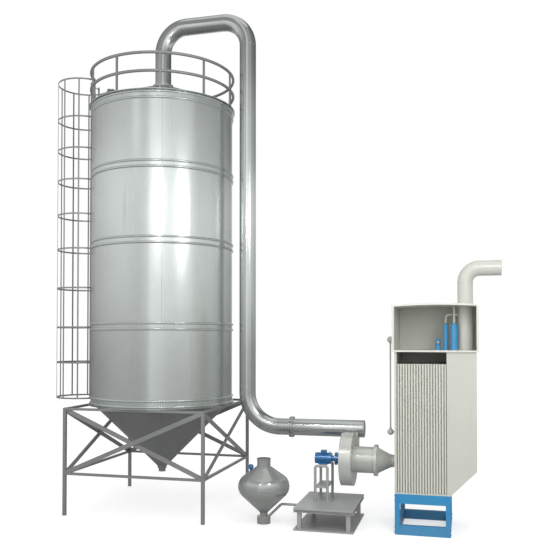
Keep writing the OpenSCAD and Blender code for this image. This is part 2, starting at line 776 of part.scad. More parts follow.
module fan_inlet_cone() color(duct_grey) fan_line() rotate_extrude() difference() {
    reducer_half(0);
    reducer_half(inlet_wall);
}

// Motor: finned body, end shields, neck and flange on the fan, terminal box on top
module motor() color(motor_blue) {
    shield = motor_len / 8;
    fan_line() {
        translate([0, 0, motor_x0]) cylinder(r = motor_r - fin_h, h = motor_len);
        for (z = [motor_x0, motor_x1 - shield]) translate([0, 0, z]) cylinder(r = motor_r, h = shield);
        translate([0, 0, motor_x1]) cylinder(r = motor_neck_r, h = motor_neck_len);
        translate([0, 0, motor_x1 + motor_neck_len]) cylinder(r = motor_flange_r, h = motor_flange_w);
        translate([0, 0, motor_x1 + motor_neck_len + motor_flange_w])
            cylinder(r = motor_flange_r * 0.8, h = motor_gap - motor_neck_len - motor_flange_w);
        for (k = [0:motor_fins - 1]) rotate(k * 360 / motor_fins)
            translate([0, -fin_h / 4, motor_x0]) cube([motor_r - 1, fin_h / 2, motor_len]);
    }
    translate([mstand_mid - motor_box_w / 2, -fan_y - motor_box_w / 2, fan_z])
        cube([motor_box_w, motor_box_w, motor_r + motor_box_h]);
    translate([mstand_mid - motor_len / 3, -fan_y - motor_r * 0.7, mstand_top])
        cube([motor_len * 2 / 3, motor_r * 1.4, motor_r / 3]);
}

// Motor stand

// One bent tube: two posts joined over rounded corners, in the plane of X and Z
module bent_post() {
    top_z = mstand_bar_z;
    for (m = [0, 1]) mirror([m, 0, 0]) {
        translate([mstand_x / 2, 0, base_h]) cylinder(d = mstand_post_d, h = top_z - mstand_bend_r - base_h);
        translate([mstand_x / 2 - mstand_bend_r, 0, top_z - mstand_bend_r]) rotate([90, 0, 0])
            rotate_extrude(angle = 90) translate([mstand_bend_r, 0]) circle(d = mstand_post_d);
        translate([0, 0, top_z]) rotate([0, 90, 0])
            cylinder(d = mstand_post_d, h = mstand_x / 2 - mstand_bend_r);
    }
}

module at_mstand() translate([mstand_mid, -fan_y, 0]) children();

module motor_stand_posts() color(steel) at_mstand() for (s = [-1, 1])
    translate([0, s * mstand_y / 2, 0]) bent_post();

// The upper plate sits between the bent tubes, and the shelf between their posts
module motor_stand_plates() color(steel) at_mstand() {
    difference() {
        translate([-mstand_plate_w / 2, -mstand_y / 2, mstand_top - mstand_t])
            cube([mstand_plate_w, mstand_y, mstand_t]);
        for (s = [-1, 1]) translate([-mstand_x / 2, s * mstand_y / 2, mstand_bar_z]) rotate([0, 90, 0])
            cylinder(d = mstand_post_d, h = mstand_x);
    }
    difference() {
        translate([-mstand_x / 2, -mstand_y / 2, base_h + mstand_shelf_h])
            cube([mstand_x, mstand_y, mstand_shelf_t]);
        for (sx = [-1, 1], sy = [-1, 1]) translate([sx * mstand_x / 2, sy * mstand_y / 2, base_h])
            cylinder(d = mstand_post_d, h = mstand_top - base_h);
    }
}

// Base stand

module base_top_plate() color(steel) translate([base_x, -base_y, base_h - base_plate_t])
    cube([base_l, base_d, base_plate_t]);

// Edge channel along X, its open side towards -Y
module channel(l) rotate([90, 0, 90]) linear_extrude(l) difference() {
    square([channel_w, channel_h]);
    translate([-eps, channel_t]) square([channel_w - channel_t + eps, channel_h - 2 * channel_t]);
}

module base_channels() color(steel) translate([base_x, -base_y, base_h - base_plate_t - channel_h]) {
    channel(base_l);
    translate([base_l, base_d, 0]) rotate(180) channel(base_l);
    side_l = base_d - 2 * channel_w - 2 * seam_gap;
    translate([0, base_d - channel_w - seam_gap, 0]) rotate(-90) channel(side_l);
    translate([base_l, channel_w + seam_gap, 0]) rotate(90) channel(side_l);
}

module base_posts() color(steel) for (x = [base_post_in, base_l - base_post_in - base_post_w],
        y = [base_post_in, base_d - base_post_in - base_post_w])
    translate([base_x + x, -base_y + y, base_foot_t])
        cube([base_post_w, base_post_w, base_h - base_plate_t - base_foot_t]);

module base_bottom_plate() color(steel) translate([base_x, -base_y, 0]) cube([base_l, base_d, base_foot_t]);

// Filter

module filter_stand_posts() color(stand_blue) for (x = [0, bay_w - fstand_post], y = [0, filter_d - fstand_t])
    translate([filter_x + x, -filter_y + y, 0]) cube([fstand_post, fstand_t, fstand_h]);

// Beams between the posts, at the floor and under the casing, on all four sides
module filter_stand_beams() color(stand_blue) for (z = [0, fstand_h - fstand_beam]) {
    for (y = [0, filter_d - fstand_t]) translate([filter_x + fstand_post, -filter_y + y, z])
        cube([bay_w - 2 * fstand_post, fstand_t, fstand_beam]);
    for (x = [0, bay_w - fstand_t]) translate([filter_x + x, -filter_y + fstand_t, z])
        cube([fstand_t, filter_d - 2 * fstand_t, fstand_beam]);
}

module filter_floor() color(warm_grey) translate([filter_x, -filter_y, fstand_h])
    cube([bay_w, filter_d, floor_t]);

module filter_left_wall() color(warm_grey) translate([filter_x, -filter_y, fstand_h + floor_t])
    cube([wall_t, filter_d, casing_h - floor_t]);

module filter_back_wall() color(warm_grey)
    translate([bay_x0, -filter_y + filter_d - wall_t, fstand_h + floor_t])
        cube([bay_x1 - bay_x0, wall_t, casing_h - floor_t]);

module filter_partition() color(warm_grey) translate([bay_x1, -filter_y, fstand_h + floor_t])
    cube([partition_t, filter_d, casing_h - floor_t]);

// Upright lamellae with a rounded nose towards the open front
module filter_lamellae() color(warm_grey) for (k = [0:lamellae - 1])
    translate([bay_x0 + (k + 0.5) * lamella_step, -filter_y + lamella_in, fstand_h + floor_t])
        linear_extrude(lamella_h) {
            translate([0, lamella_t / 2]) circle(d = lamella_t);
            translate([-lamella_t / 2, lamella_t / 2])
                square([lamella_t, filter_d - wall_t - lamella_in - lamella_back - lamella_t / 2]);
        }

// Plain chamber beside the bay, with a slanted underside
module filter_chamber() color(warm_grey) translate([chamber_x0, -filter_y + filter_d, fstand_h])
    rotate([90, 0, 0]) linear_extrude(filter_d)
        polygon([[0, 0], [chamber_w, chamber_rise], [chamber_w, casing_h], [0, casing_h]]);

// Hood: its walls and roof follow one arch

module hood_face() polygon(concat(arch_line, [[hood_x1, hood_floor_z], [hood_x0, hood_floor_z]]));

module hood_floor() color(hood_grey) difference() {
    translate([hood_x0, hood_y0, casing_top]) cube([hood_x1 - hood_x0, hood_d, hood_t]);
    translate([out_x, out_at_y, casing_top - eps]) cylinder(r = out_r - out_wall, h = hood_t + 2 * eps);
}

module hood_side_walls() color(hood_grey) translate([0, hood_y0 + hood_d, 0]) rotate([90, 0, 0])
    linear_extrude(hood_d) intersection() {
        hood_face();
        for (x = [hood_x0, hood_x1 - hood_wall_t]) translate([x, hood_floor_z])
            square([hood_wall_t, hood_h]);
    }

module hood_back_wall() color(hood_grey) translate([0, hood_y0 + hood_d, 0]) rotate([90, 0, 0])
    linear_extrude(hood_t) intersection() {
        hood_face();
        translate([hood_x0 + hood_wall_t, hood_floor_z])
            square([hood_x1 - hood_x0 - 2 * hood_wall_t, hood_h + hood_rise]);
    }

// The roof sheet is bent to the arch in flat strips
module hood_roof() color(hood_grey) difference() {
    translate([0, hood_y0 + hood_d, 0]) rotate([90, 0, 0]) linear_extrude(hood_d)
        polygon(concat(arch_line, [for (i = [roof_bends:-1:0]) arch_line[i] + [0, hood_t]]));
    translate([out_x, out_at_y, hood_floor_z]) cylinder(r = out_r + out_clear, h = out_z - hood_floor_z);
}

// Outlet pipe: up through the hood's roof, then level to an open end

module outlet_pipes() color(warm_grey) {
    translate([out_x, out_at_y, hood_floor_z]) tube(out_r, out_wall, out_z - out_bend_r - hood_floor_z);
    translate([0, out_at_y, 0])
        tube_x(out_r, out_wall, out_x + out_bend_r, out_x + out_bend_r + out_len, out_z);
}

module outlet_bend() color(warm_grey) translate([out_x, out_at_y, out_z - out_bend_r])
    quarter_bend(out_r, out_wall, out_bend_r);

// Compressed-air set on the hood's floor, in line with the outlet pipe

module air_bottle(at, front, r, h) translate([out_x - at, out_at_y - front, hood_floor_z]) {
    cylinder(r = r, h = h - r / 2);
    translate([0, 0, h - r / 2]) cylinder(r1 = r, r2 = r / 2, h = r / 2);
}

module air_cylinders() color(air_blue) {
    air_bottle(air_wide_at, air_wide_front, air_wide_r, air_h);
    air_bottle(air_narrow_at, 0, air_narrow_r, air_h);
    air_bottle(air_pot_at, 0, air_pot_r, air_pot_h);
}

// The wide cylinder's pipe goes up to the roof, the narrow one's turns across to the outlet pipe
module air_pipes() color(warm_grey) {
    top_z = hood_floor_z + air_h;
    turn_r = 1.5 * air_pipe_d;
    cross_z = hood_floor_z + air_cross_h;
    wide_x = out_x - air_wide_at;
    translate([wide_x, out_at_y - air_wide_front, top_z])
        cylinder(d = air_pipe_d, h = arch_top(wide_x + air_pipe_d / 2) - hood_t - eps - top_z);
    difference() {
        translate([out_x - air_narrow_at, out_at_y, 0]) {
            translate([0, 0, top_z]) cylinder(d = air_pipe_d, h = cross_z - turn_r - top_z);
            translate([turn_r, 0, cross_z - turn_r]) rotate([90, 0, 0]) rotate(90) rotate_extrude(angle = 90)
                translate([turn_r, 0]) circle(d = air_pipe_d);
            translate([turn_r, 0, cross_z]) rotate([0, 90, 0])
                cylinder(d = air_pipe_d, h = air_narrow_at - turn_r);
        }
        translate([out_x, out_at_y, hood_floor_z]) cylinder(r = out_r, h = hood_h, $fn = fine);
    }
}

// Sight tube: an upright tube between two ball fittings on short stubs
module sight_tube() color(duct_grey) translate([sight_x, -filter_y + sight_y, 0]) {
    translate([0, 0, sight_zs[0]]) cylinder(d = sight_d, h = sight_zs[1] - sight_zs[0]);
    for (z = sight_zs) translate([0, 0, z]) sphere(r = sight_ball_r);
    translate([0, 0, sight_zs[0]]) rotate([0, 90, 0]) cylinder(d = sight_d, h = filter_x - sight_x);
    translate([0, 0, sight_zs[1]]) rotate([0, 90, 0]) cylinder(d = sight_d, h = hood_x0 - sight_x);
}

// Dust vessel

// Half section of the vessel, drawn smaller by inset; z0 is its lower end
module vessel_half(inset, z0, z1) {
    r = belly_r - inset;
    cone_t = [belly_at, belly_z] + r * cone_n;
    shoulder_t = [belly_at, belly_z] + r * shoulder_n;
    polygon([[0, z0], [throat_r - inset, z0], [throat_r - inset, line_z(cone_n, throat_r - inset, inset)],
        cone_t, shoulder_t, [neck_r - inset, line_z(shoulder_n, neck_r - inset, inset)],
        [neck_r - inset, z1], [0, z1]]);
    intersection() {
        translate([belly_at, belly_z]) circle(r = r);
        translate([belly_at / 2, belly_z - r]) square([vessel_r, 2 * r]);
    }
}

module at_vessel() translate([vessel_x, -vessel_y, 0]) children();

module vessel_shell() color(duct_grey) at_vessel() rotate_extrude() difference() {
    vessel_half(0, foot_h, mouth_z);
    vessel_half(vessel_wall, foot_h + vessel_wall, mouth_z + eps);
}

module vessel_foot() color(dark_grey) at_vessel() cylinder(r = foot_r, h = foot_h);

// Ball valve on the shoulder, on a short stub
module vessel_valve() color(motor_blue) at_vessel() difference() {
    translate([-valve_at, 0, valve_z]) {
        sphere(r = valve_r);
        translate([0, 0, -valve_h - valve_r]) cylinder(r = valve_r / 2, h = valve_h + valve_r);
    }
    rotate_extrude() vessel_half(0, foot_h, mouth_z);
}

// Conveying pipe: slants up out of the foot's edge, turns, and runs level to the base stand's edge
module conveying_pipe() color(duct_grey) difference() {
    turn_r = 2 * convey_d;
    turn_x = turn_r * sin(45);
    turn_z = turn_r * (1 - cos(45));
    start = foot_r - foot_h / 2;
    rise = convey_z - turn_z - foot_h + convey_d;
    union() {
        translate([vessel_x + start, -vessel_y, foot_h - convey_d]) rotate([0, 45, 0])
            cylinder(d = convey_d, h = rise / cos(45));
        translate([vessel_x + start + rise, -vessel_y, foot_h - convey_d + rise]) rotate([0, 45, 0])
            cylinder(d = convey_d + 2 * socket_t, h = convey_d / 2, center = true);
        translate([vessel_x + start + rise + turn_x, -vessel_y, convey_z - turn_r]) rotate([90, 0, 0])
            rotate(90) rotate_extrude(angle = 45) translate([turn_r, 0]) circle(d = convey_d);
        translate([vessel_x + start + rise + turn_x, -vessel_y, convey_z]) rotate([0, 90, 0])
            cylinder(d = convey_d, h = base_x - vessel_x - start - rise - turn_x);
    }
    at_vessel() translate([0, 0, -eps]) cylinder(r = foot_r, h = foot_h + eps, $fn = fine);
}

site() frame_legs();
site() frame_beams();
site() frame_braces();
site() bearing_ring();
site() hopper_cone();
site() hopper_outlet();
site() shell_course_1();
site() shell_course_2();
site() shell_course_3();
site() shell_course_4();
site() joint_rings();
site() roof_rim();
site() roof_cone();
site() roof_collar();
site() roof_hatch();
site() handrail_posts();
site() handrail_rails();
site() ladder();
site() ladder_rungs();
site() ladder_brackets();
site() cage_hoops();
site() cage_bars();
site() duct_riser();
site() duct_bends();
site() duct_top_run();
site() duct_downcomer();
site() duct_low_run();
site() duct_flange();
site() duct_end_cap();
site() fan_housing();
site() fan_inlet_pipe();
site() fan_inlet_cone();
site() motor();
site() motor_stand_posts();
site() motor_stand_plates();
site() base_top_plate();
site() base_channels();
site() base_posts();
site() base_bottom_plate();
site() filter_stand_posts();
site() filter_stand_beams();
site() filter_floor();
site() filter_left_wall();
site() filter_back_wall();
site() filter_partition();
site() filter_lamellae();
site() filter_chamber();
site() hood_floor();
site() hood_side_walls();
site() hood_back_wall();
site() hood_roof();
site() outlet_pipes();
site() outlet_bend();
site() air_cylinders();
site() air_pipes();
site() sight_tube();
site() vessel_shell();
site() vessel_foot();
site() vessel_valve();
site() conveying_pipe();
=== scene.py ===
import json
import math

import bmesh
import bpy
from mathutils import Matrix, Vector


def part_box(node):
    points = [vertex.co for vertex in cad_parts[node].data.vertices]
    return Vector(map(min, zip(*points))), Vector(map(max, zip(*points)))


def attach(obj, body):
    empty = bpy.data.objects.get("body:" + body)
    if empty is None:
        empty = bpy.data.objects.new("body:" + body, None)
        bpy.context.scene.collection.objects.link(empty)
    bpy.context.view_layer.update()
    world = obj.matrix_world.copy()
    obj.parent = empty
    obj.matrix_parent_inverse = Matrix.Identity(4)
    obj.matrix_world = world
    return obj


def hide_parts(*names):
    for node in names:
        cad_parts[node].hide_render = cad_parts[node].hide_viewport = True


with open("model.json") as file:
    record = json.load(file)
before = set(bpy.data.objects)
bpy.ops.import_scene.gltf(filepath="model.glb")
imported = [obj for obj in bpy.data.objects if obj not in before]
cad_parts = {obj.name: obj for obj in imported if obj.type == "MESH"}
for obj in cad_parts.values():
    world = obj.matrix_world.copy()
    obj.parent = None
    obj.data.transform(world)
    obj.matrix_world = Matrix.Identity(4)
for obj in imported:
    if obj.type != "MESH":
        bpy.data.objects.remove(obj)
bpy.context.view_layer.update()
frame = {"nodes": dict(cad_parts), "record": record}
nodes = frame["nodes"]

UP, DOWN = Vector((0, 0, 1)), Vector((0, 0, -1))
LEFT, RIGHT = Vector((-1, 0, 0)), Vector((1, 0, 0))
FRONT, BACK = Vector((0, -1, 0)), Vector((0, 1, 0))
CORNERS = ((-1, -1), (1, -1), (1, 1), (-1, 1))


class Extent:
    """The space that a node takes up: its corners, its middle and its size, in metres."""

    def __init__(self, node):
        self.low, self.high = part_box(node)
        self.mid = (self.low + self.high) / 2
        self.size = self.high - self.low


extent = {name: Extent(name) for name in nodes}

# Camera, where the photograph was taken from

camera = bpy.data.objects.new("camera", bpy.data.cameras.new("camera"))
bpy.context.scene.collection.objects.link(camera)
camera.location = (5.849, -21.155, 5.184)
camera.rotation_euler = (math.radians(91.14), 0.0, math.radians(14.356))
camera.data.lens = 47.01
camera.data.sensor_width = 36.0
camera.data.shift_y = 0.0833
camera.data.clip_end = 500.0
bpy.context.scene.camera = camera
bpy.context.scene.view_settings.view_transform = "Standard"


# Finishes

class Shade:
    """A value or colour on its way through a finish. Sums written with it add Math nodes."""

    def __init__(self, finish, socket):
        self.finish = finish
        self.socket = socket

    def sum(self, operation, first, second):
        return self.finish.node("ShaderNodeMath", {"operation": operation}, {0: first, 1: second})

    def __add__(self, other):
        return self.sum("ADD", self, other)

    def __radd__(self, other):
        return self.sum("ADD", other, self)

    def __sub__(self, other):
        return self.sum("SUBTRACT", self, other)

    def __rsub__(self, other):
        return self.sum("SUBTRACT", other, self)

    def __mul__(self, other):
        return self.sum("MULTIPLY", self, other)

    def __rmul__(self, other):
        return self.sum("MULTIPLY", other, self)


class Finish:
    """One material. Steady values go on its shader's sockets, and what varies is linked to them."""

    def __init__(self, name, steady):
        self.material = bpy.data.materials.new(name)
        self.material.use_nodes = True
        self.tree = self.material.node_tree
        self.shader = self.tree.nodes["Principled BSDF"]
        for socket, value in steady.items():
            self.shader.inputs[socket].default_value = value
        self.place = self.node("ShaderNodeTexCoord", {}, {}, "Object")
        self.x = self.node("ShaderNodeSeparateXYZ", {}, {0: self.place}, "X")
        self.y = self.node("ShaderNodeSeparateXYZ", {}, {0: self.place}, "Y")
        self.z = self.node("ShaderNodeSeparateXYZ", {}, {0: self.place}, "Z")

    def node(self, kind, settings, sockets, out=0):
        made = self.tree.nodes.new(kind)
        for key, value in settings.items():
            setattr(made, key, value)
        for key, value in sockets.items():
            self.feed(made.inputs[key], value)
        return Shade(self, made.outputs[out])

    def feed(self, socket, value):
        if isinstance(value, Shade):
            self.tree.links.new(value.socket, socket)
        else:
            socket.default_value = value

    def noise(self, scale, stretch=(1, 1, 1), detail=3.0, rough=0.55, over=None):
        """Noise in the piece's own place, or over another vector."""
        stretched = {0: over or self.place, 1: stretch}
        spread = self.node("ShaderNodeVectorMath", {"operation": "MULTIPLY"}, stretched)
        sockets = {"Vector": spread, "Scale": scale, "Detail": detail, "Roughness": rough}
        return self.node("ShaderNodeTexNoise", {}, sockets)

    def ramp(self, value, low, high):
        """Nought below low, one above high, and a smooth rise between."""
        sockets = {"Value": value, "From Min": low, "From Max": high}
        return self.node("ShaderNodeMapRange", {"interpolation_type": "SMOOTHSTEP"}, sockets)

    def band(self, value, low, high, soft):
        """One between low and high, with soft ends."""
        return self.ramp(value, low - soft, low + soft) * (1 - self.ramp(value, high - soft, high + soft))

    def bearing(self, x, y):
        """The angle of a point round the upright axis, in radians."""
        return self.node("ShaderNodeMath", {"operation": "ARCTAN2"}, {0: y, 1: x})

    def mix(self, share, first, second):
        return self.node("ShaderNodeMix", {"data_type": "RGBA"}, {0: share, 6: first, 7: second}, 2)

    def bump(self, height, depth, strength=1.0, under=None):
        sockets = {"Height": height, "Distance": depth, "Strength": strength}
        if under:
            sockets["Normal"] = under
        return self.node("ShaderNodeBump", {}, sockets)

    def show(self, **sockets):
        for key, value in sockets.items():
            self.feed(self.shader.inputs[key.replace("_", " ").title()], value)
        return self.material


def shade_of(colour, share):
    """A colour made darker or lighter, with its alpha."""
    return tuple(min(1.0, channel * share) for channel in colour) + (1.0,)


DUST = (0.33, 0.31, 0.27, 1.0)
BARE_STEEL = (0.20, 0.19, 0.18, 1.0)


def coated(name, colour, rough, metal=0.0, coat=0.0, cloud=0.10, peel=0.3, dust=0.25, runs=0.15, chips=0.0):
    """Painted or pickled steel: soft clouding, dust near the floor, runs down the sides and worn specks."""
    f = Finish(name, {"Metallic": metal, "Coat Weight": coat, "Coat Roughness": 0.12})
    clouds = f.noise(0.9, detail=4.0)
    tone = f.mix(clouds, shade_of(colour, 1 - cloud), shade_of(colour, 1 + cloud))
    run = f.ramp(f.noise(3.0, (3.0, 3.0, 0.12), detail=5.0, rough=0.65), 0.56, 0.74) * runs
    tone = f.mix(run, tone, shade_of(colour, 0.62))
    low = (1 - f.ramp(f.z, 0.0, 0.7)) * f.noise(6.0, detail=4.0) * dust
    tone = f.mix(low, tone, DUST)
    if chips:
        chip = f.ramp(f.noise(16.0, detail=6.0, rough=0.7), 0.70, 0.73) * chips
        tone = f.mix(chip, tone, BARE_STEEL)
    fine = f.noise(140.0, detail=2.0)
    smear = f.noise(2.4, (1.0, 1.0, 0.4), detail=5.0)
    return f.show(
        base_color=tone,
        roughness=rough - 0.07 + 0.14 * smear + 0.05 * run + 0.15 * low,
        normal=f.bump(fine, 0.0015, peel, f.bump(clouds, 0.004, 0.3)),
    )


def rolled_plate(name, colour, rough, metal, axis_x):
    """Satin plate rolled round an upright axis: brushing along the roll, slow waves and rain runs."""
    metres_per_radian = 2.2
    f = Finish(name, {"Metallic": metal, "Coat Weight": 0.0})
    unrolled = f.bearing(f.x - axis_x, f.y) * metres_per_radian
    sheet = f.node("ShaderNodeCombineXYZ", {}, {0: unrolled, 1: f.z, 2: 0.0})
    brush = f.noise(60.0, (0.04, 1.0, 1.0), detail=4.0, rough=0.6, over=sheet)
    waves = f.noise(0.55, (1.0, 0.7, 1.0), detail=2.0, rough=0.6, over=sheet)
    rain = f.noise(2.6, (2.2, 0.07, 1.0), detail=6.0, rough=0.6, over=sheet)
    runs = f.ramp(rain, 0.55, 0.78)
    bloom = f.noise(1.4, (1.0, 1.0, 1.0), detail=5.0, rough=0.6, over=sheet)
    red, green, blue = colour
    tone = f.mix(bloom, shade_of(colour, 0.94), shade_of(colour, 1.06))
    tone = f.mix(brush * 0.15, tone, shade_of(colour, 0.86))
    tone = f.mix(runs * 0.22, tone, shade_of((0.90 * red, 0.88 * green, 0.82 * blue), 0.72))
    return f.show(
        base_color=tone,
        roughness=rough - 0.04 + 0.03 * brush + 0.06 * bloom + 0.08 * runs,
        normal=f.bump(brush, 0.0008, 0.02, f.bump(waves, 0.03, 0.10)),
    )


courses = [extent[f"shell_course_{k}"] for k in range(1, 5)]
tank_r = courses[0].size.x / 2
tank_axis = Vector((courses[0].mid.x, courses[0].mid.y, 0.0))

finishes = {
    "frame_steel": coated("frame steel", (0.27, 0.278, 0.272), 0.38, metal=0.45, cloud=0.12, runs=0.2,
                          chips=0.35),
    "shell_steel": rolled_plate("tank plate", (0.55, 0.585, 0.568), 0.25, 0.80, tank_axis.x),
    "hopper_grey": coated("hopper steel", (0.20, 0.208, 0.202), 0.40, metal=0.3, runs=0.3),
    "duct_steel": coated("duct steel", (0.485, 0.51, 0.497), 0.17, metal=0.85, dust=0.0, peel=0.12),
    "fan_grey": coated("fan steel", (0.51, 0.522, 0.488), 0.22, metal=0.28, coat=0.5, peel=0.1),
    "motor_blue": coated("motor enamel", (0.016, 0.145, 0.36), 0.18, metal=0.3, coat=1.0, cloud=0.15,
                         chips=0.3),
    "stand_grey": coated("stand enamel", (0.36, 0.372, 0.362), 0.36, metal=0.1, peel=0.15, chips=0.15),
    "stand_blue": coated("stand blue enamel", (0.025, 0.235, 0.47), 0.36, coat=0.1, cloud=0.12, chips=0.6),
    "casing_grey": coated("casing enamel", (0.53, 0.535, 0.482), 0.34, coat=0.2, cloud=0.04, runs=0.12),
    "lamella_plastic": coated("lamella plastic", (0.60, 0.605, 0.545), 0.62, cloud=0.06, peel=0.1, runs=0.2),
    "hood_grey": coated("hood enamel", (0.64, 0.645, 0.59), 0.36, coat=0.2, cloud=0.04, runs=0.14),
    "air_blue": coated("cylinder enamel", (0.045, 0.285, 0.545), 0.28, coat=0.5, cloud=0.08),
    "vessel_steel": coated("vessel steel", (0.335, 0.35, 0.337), 0.16, metal=0.4, coat=0.8, peel=0.1,
                           runs=0.1),
}
weld_finish = coated("weld bead", (0.40, 0.41, 0.40), 0.36, metal=0.7, cloud=0.2, peel=0.8, dust=0.0)
bolt_finish = coated("zinc bolt", (0.56, 0.565, 0.56), 0.30, metal=0.8, cloud=0.15, dust=0.0)
rubber_finish = coated("gasket rubber", (0.03, 0.03, 0.03), 0.7, cloud=0.2, dust=0.0)

for subpart in frame["record"]["subparts"]:
    mesh = nodes[subpart["node"]].data
    mesh.materials.clear()
    mesh.materials.append(finishes[subpart["material_slot"]])
# The vessel's foot and the pipe from it are as dark as the vessel
for name in ("vessel_foot", "conveying_pipe"):
    nodes[name].data.materials[0] = finishes["vessel_steel"]


# Modelling helpers

def facing(at, out):
    """The place of a shape whose own up points out from at."""
    return Matrix.Translation(at) @ Vector(out).to_track_quat("Z", "Y").to_matrix().to_4x4()


def circle(at, out, radius, count, start=0.0):
    """Evenly spaced points round an axis."""
    place = facing(at, out)
    turns = (math.radians(start) + 2 * math.pi * k / count for k in range(count))
    return [place @ Vector((radius * math.cos(a), radius * math.sin(a), 0.0)) for a in turns]


def spread(low, high, count):
    """Evenly spaced values from low to high."""
    return [low + (high - low) * k / (count - 1) for k in range(count)]


def round_tank(radius, degrees, z):
    """A point at a height, so far from the tank's axis."""
    return tank_axis + Matrix.Rotation(math.radians(degrees), 3, "Z") @ Vector((radius, 0.0, z))


def set_in(form, part, place):
    """Adds a finished small shape to a piece, in its place."""
    bmesh.ops.recalc_face_normals(part, faces=part.faces)
    bmesh.ops.transform(part, matrix=place, verts=part.verts)
    loose = bpy.data.meshes.new("loose")
    part.to_mesh(loose)
    part.free()
    form.from_mesh(loose)
    bpy.data.meshes.remove(loose)


def turned(form, line, at, out, steps=96):
    """A ring: a closed line of radius and height, spun about the axis out through at."""
    part = bmesh.new()
    corners = [part.verts.new((r, 0.0, h)) for r, h in line]
    edges = [part.edges.new((corners[i - 1], corners[i])) for i in range(len(corners))]
    bmesh.ops.spin(part, geom=corners + edges, cent=(0, 0, 0), axis=(0, 0, 1), angle=2 * math.pi,
                   steps=steps, use_merge=True)
    bmesh.ops.remove_doubles(part, verts=part.verts, dist=1e-6)
    set_in(form, part, facing(at, out))


def collar(form, at, out, inner, outer, low, high, steps=96):
    """A ring of square section."""
    turned(form, [(inner, low), (outer, low), (outer, high), (inner, high)], at, out, steps)


def bead(form, at, out, radius, thick, steps=96):
    """A round bead, such as a weld, on a circle."""
    turns = (k * math.pi / 4 for k in range(8))
    turned(form, [(radius + thick * math.cos(a), thick * math.sin(a)) for a in turns], at, out, steps)


def rod(form, start, end, radius, sides=8, tip=None):
    """A straight round bar, or a cone where tip is another radius."""
    part = bmesh.new()
    bmesh.ops.create_cone(part, cap_ends=True, segments=sides, radius1=radius,
                          radius2=radius if tip is None else tip, depth=(end - start).length)
    set_in(form, part, facing((start + end) / 2, end - start))


def weld_round(form, corners, radius, sides=8):
    """Straight welds from corner to corner, and back to the first."""
    for start, end in zip(corners, corners[1:] + corners[:1]):
        rod(form, start, end, radius, sides)


def slab(form, low, high, edge=0.003, place=Matrix()):
    """A plate between two corners, with its edges broken."""
    part = bmesh.new()
    size = Matrix.Diagonal((*(high - low), 1.0))
    bmesh.ops.create_cube(part, matrix=Matrix.Translation((low + high) / 2) @ size)
    bmesh.ops.bevel(part, geom=part.edges, offset=edge, offset_type="OFFSET", segments=2, profile=0.5,
                    affect="EDGES", material=-1)
    set_in(form, part, place)


def stacked(form, at, out, size, layers):
    """Short cones on one another: sides, lower and upper radius, depth and middle height, in sizes."""
    place = facing(at, out)
    for sides, low, high, depth, middle in layers:
        raised = place @ Matrix.Translation((0.0, 0.0, middle * size))
        bmesh.ops.create_cone(form, cap_ends=True, segments=sides, radius1=low * size,
                              radius2=high * size, depth=depth * size, matrix=raised)


def bolt(form, at, out, size):
    """A washer, a hexagon head and the thread's end."""
    washer = (14, 1.15, 1.10, 0.22, 0.11)
    head = (6, 0.95, 0.88, 0.62, 0.53)
    thread = (8, 0.45, 0.38, 0.30, 0.99)
    stacked(form, at, out, size, (washer, head, thread))


def screw(form, at, out, size):
    """A low round head."""
    rim = (10, 1.0, 0.92, 0.30, 0.15)
    crown = (10, 0.92, 0.45, 0.25, 0.42)
    stacked(form, at, out, size, (rim, crown))


def bolt_circle(form, at, out, radius, count, size, start=0.0):
    for place in circle(at, out, radius, count, start):
        bolt(form, place, out, size)


def piece(name, slot, form, finish=None):
    """Makes a shape a piece of the plant."""
    mesh = bpy.data.meshes.new(name)
    form.to_mesh(mesh)
    form.free()
    mesh.polygons.foreach_set("use_smooth", [True] * len(mesh.polygons))
    mesh.set_sharp_from_angle(angle=math.radians(38))
    mesh.materials.append(finish or finishes[slot])
    made = bpy.data.objects.new(name, mesh)
    bpy.context.scene.collection.objects.link(made)
    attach(made, "root")
    return made


# Tank and roof

# Plates round the tank, and the radius of the welds between them
PLATES = 8
SEAM_R = 0.004
roof = extent["roof_cone"]
neck = extent["roof_collar"]
neck_r = neck.size.x / 2
duct_r = extent["duct_riser"].size.x / 2


def tank_seams():
    """Welds between the plates, half a plate further round on every other course."""
    seam_r = tank_r - 0.001
    form = bmesh.new()
    for turn, course in enumerate(courses):
        for k in range(PLATES):
            degrees = 360 / PLATES * (k + turn % 2 / 2)
            foot = round_tank(seam_r, degrees, course.low.z + SEAM_R)
            head = round_tank(seam_r, degrees, course.high.z - SEAM_R)
            rod(form, foot, head, radius=SEAM_R)
    piece("tank_seam_welds", "shell_steel", form, weld_finish)


def roof_seams():
    """Welds up the roof's plates, and round the collar and the duct's foot."""
    from_rim, from_neck, below_top = 0.020, 0.002, 0.0015
    sunk, proud = 0.0005, 0.0015
    slope = roof.size.z / (tank_r - neck_r)
    form = bmesh.new()
    for k in range(PLATES):
        degrees = 360 / PLATES * (k + 0.75)
        low = round_tank(tank_r - from_rim, degrees, roof.low.z + from_rim * slope)
        high = round_tank(neck_r + from_neck, degrees, roof.high.z - below_top)
        rod(form, low, high, radius=SEAM_R)
    bead(form, round_tank(0, 0, roof.high.z - sunk), UP, radius=neck_r + from_neck, thick=0.009)
    bead(form, round_tank(0, 0, neck.high.z + proud), UP, radius=duct_r + from_neck, thick=0.007)
    piece("roof_welds", "hopper_grey", form)


def neck_bolts():
    """Bolts round the duct's foot."""
    form = bmesh.new()
    seat = round_tank(0, 0, neck.high.z - 0.0005)
    bolt_circle(form, seat, UP, radius=duct_r + 0.038, count=16, size=0.014)
    piece("collar_bolts", "frame_steel", form, bolt_finish)


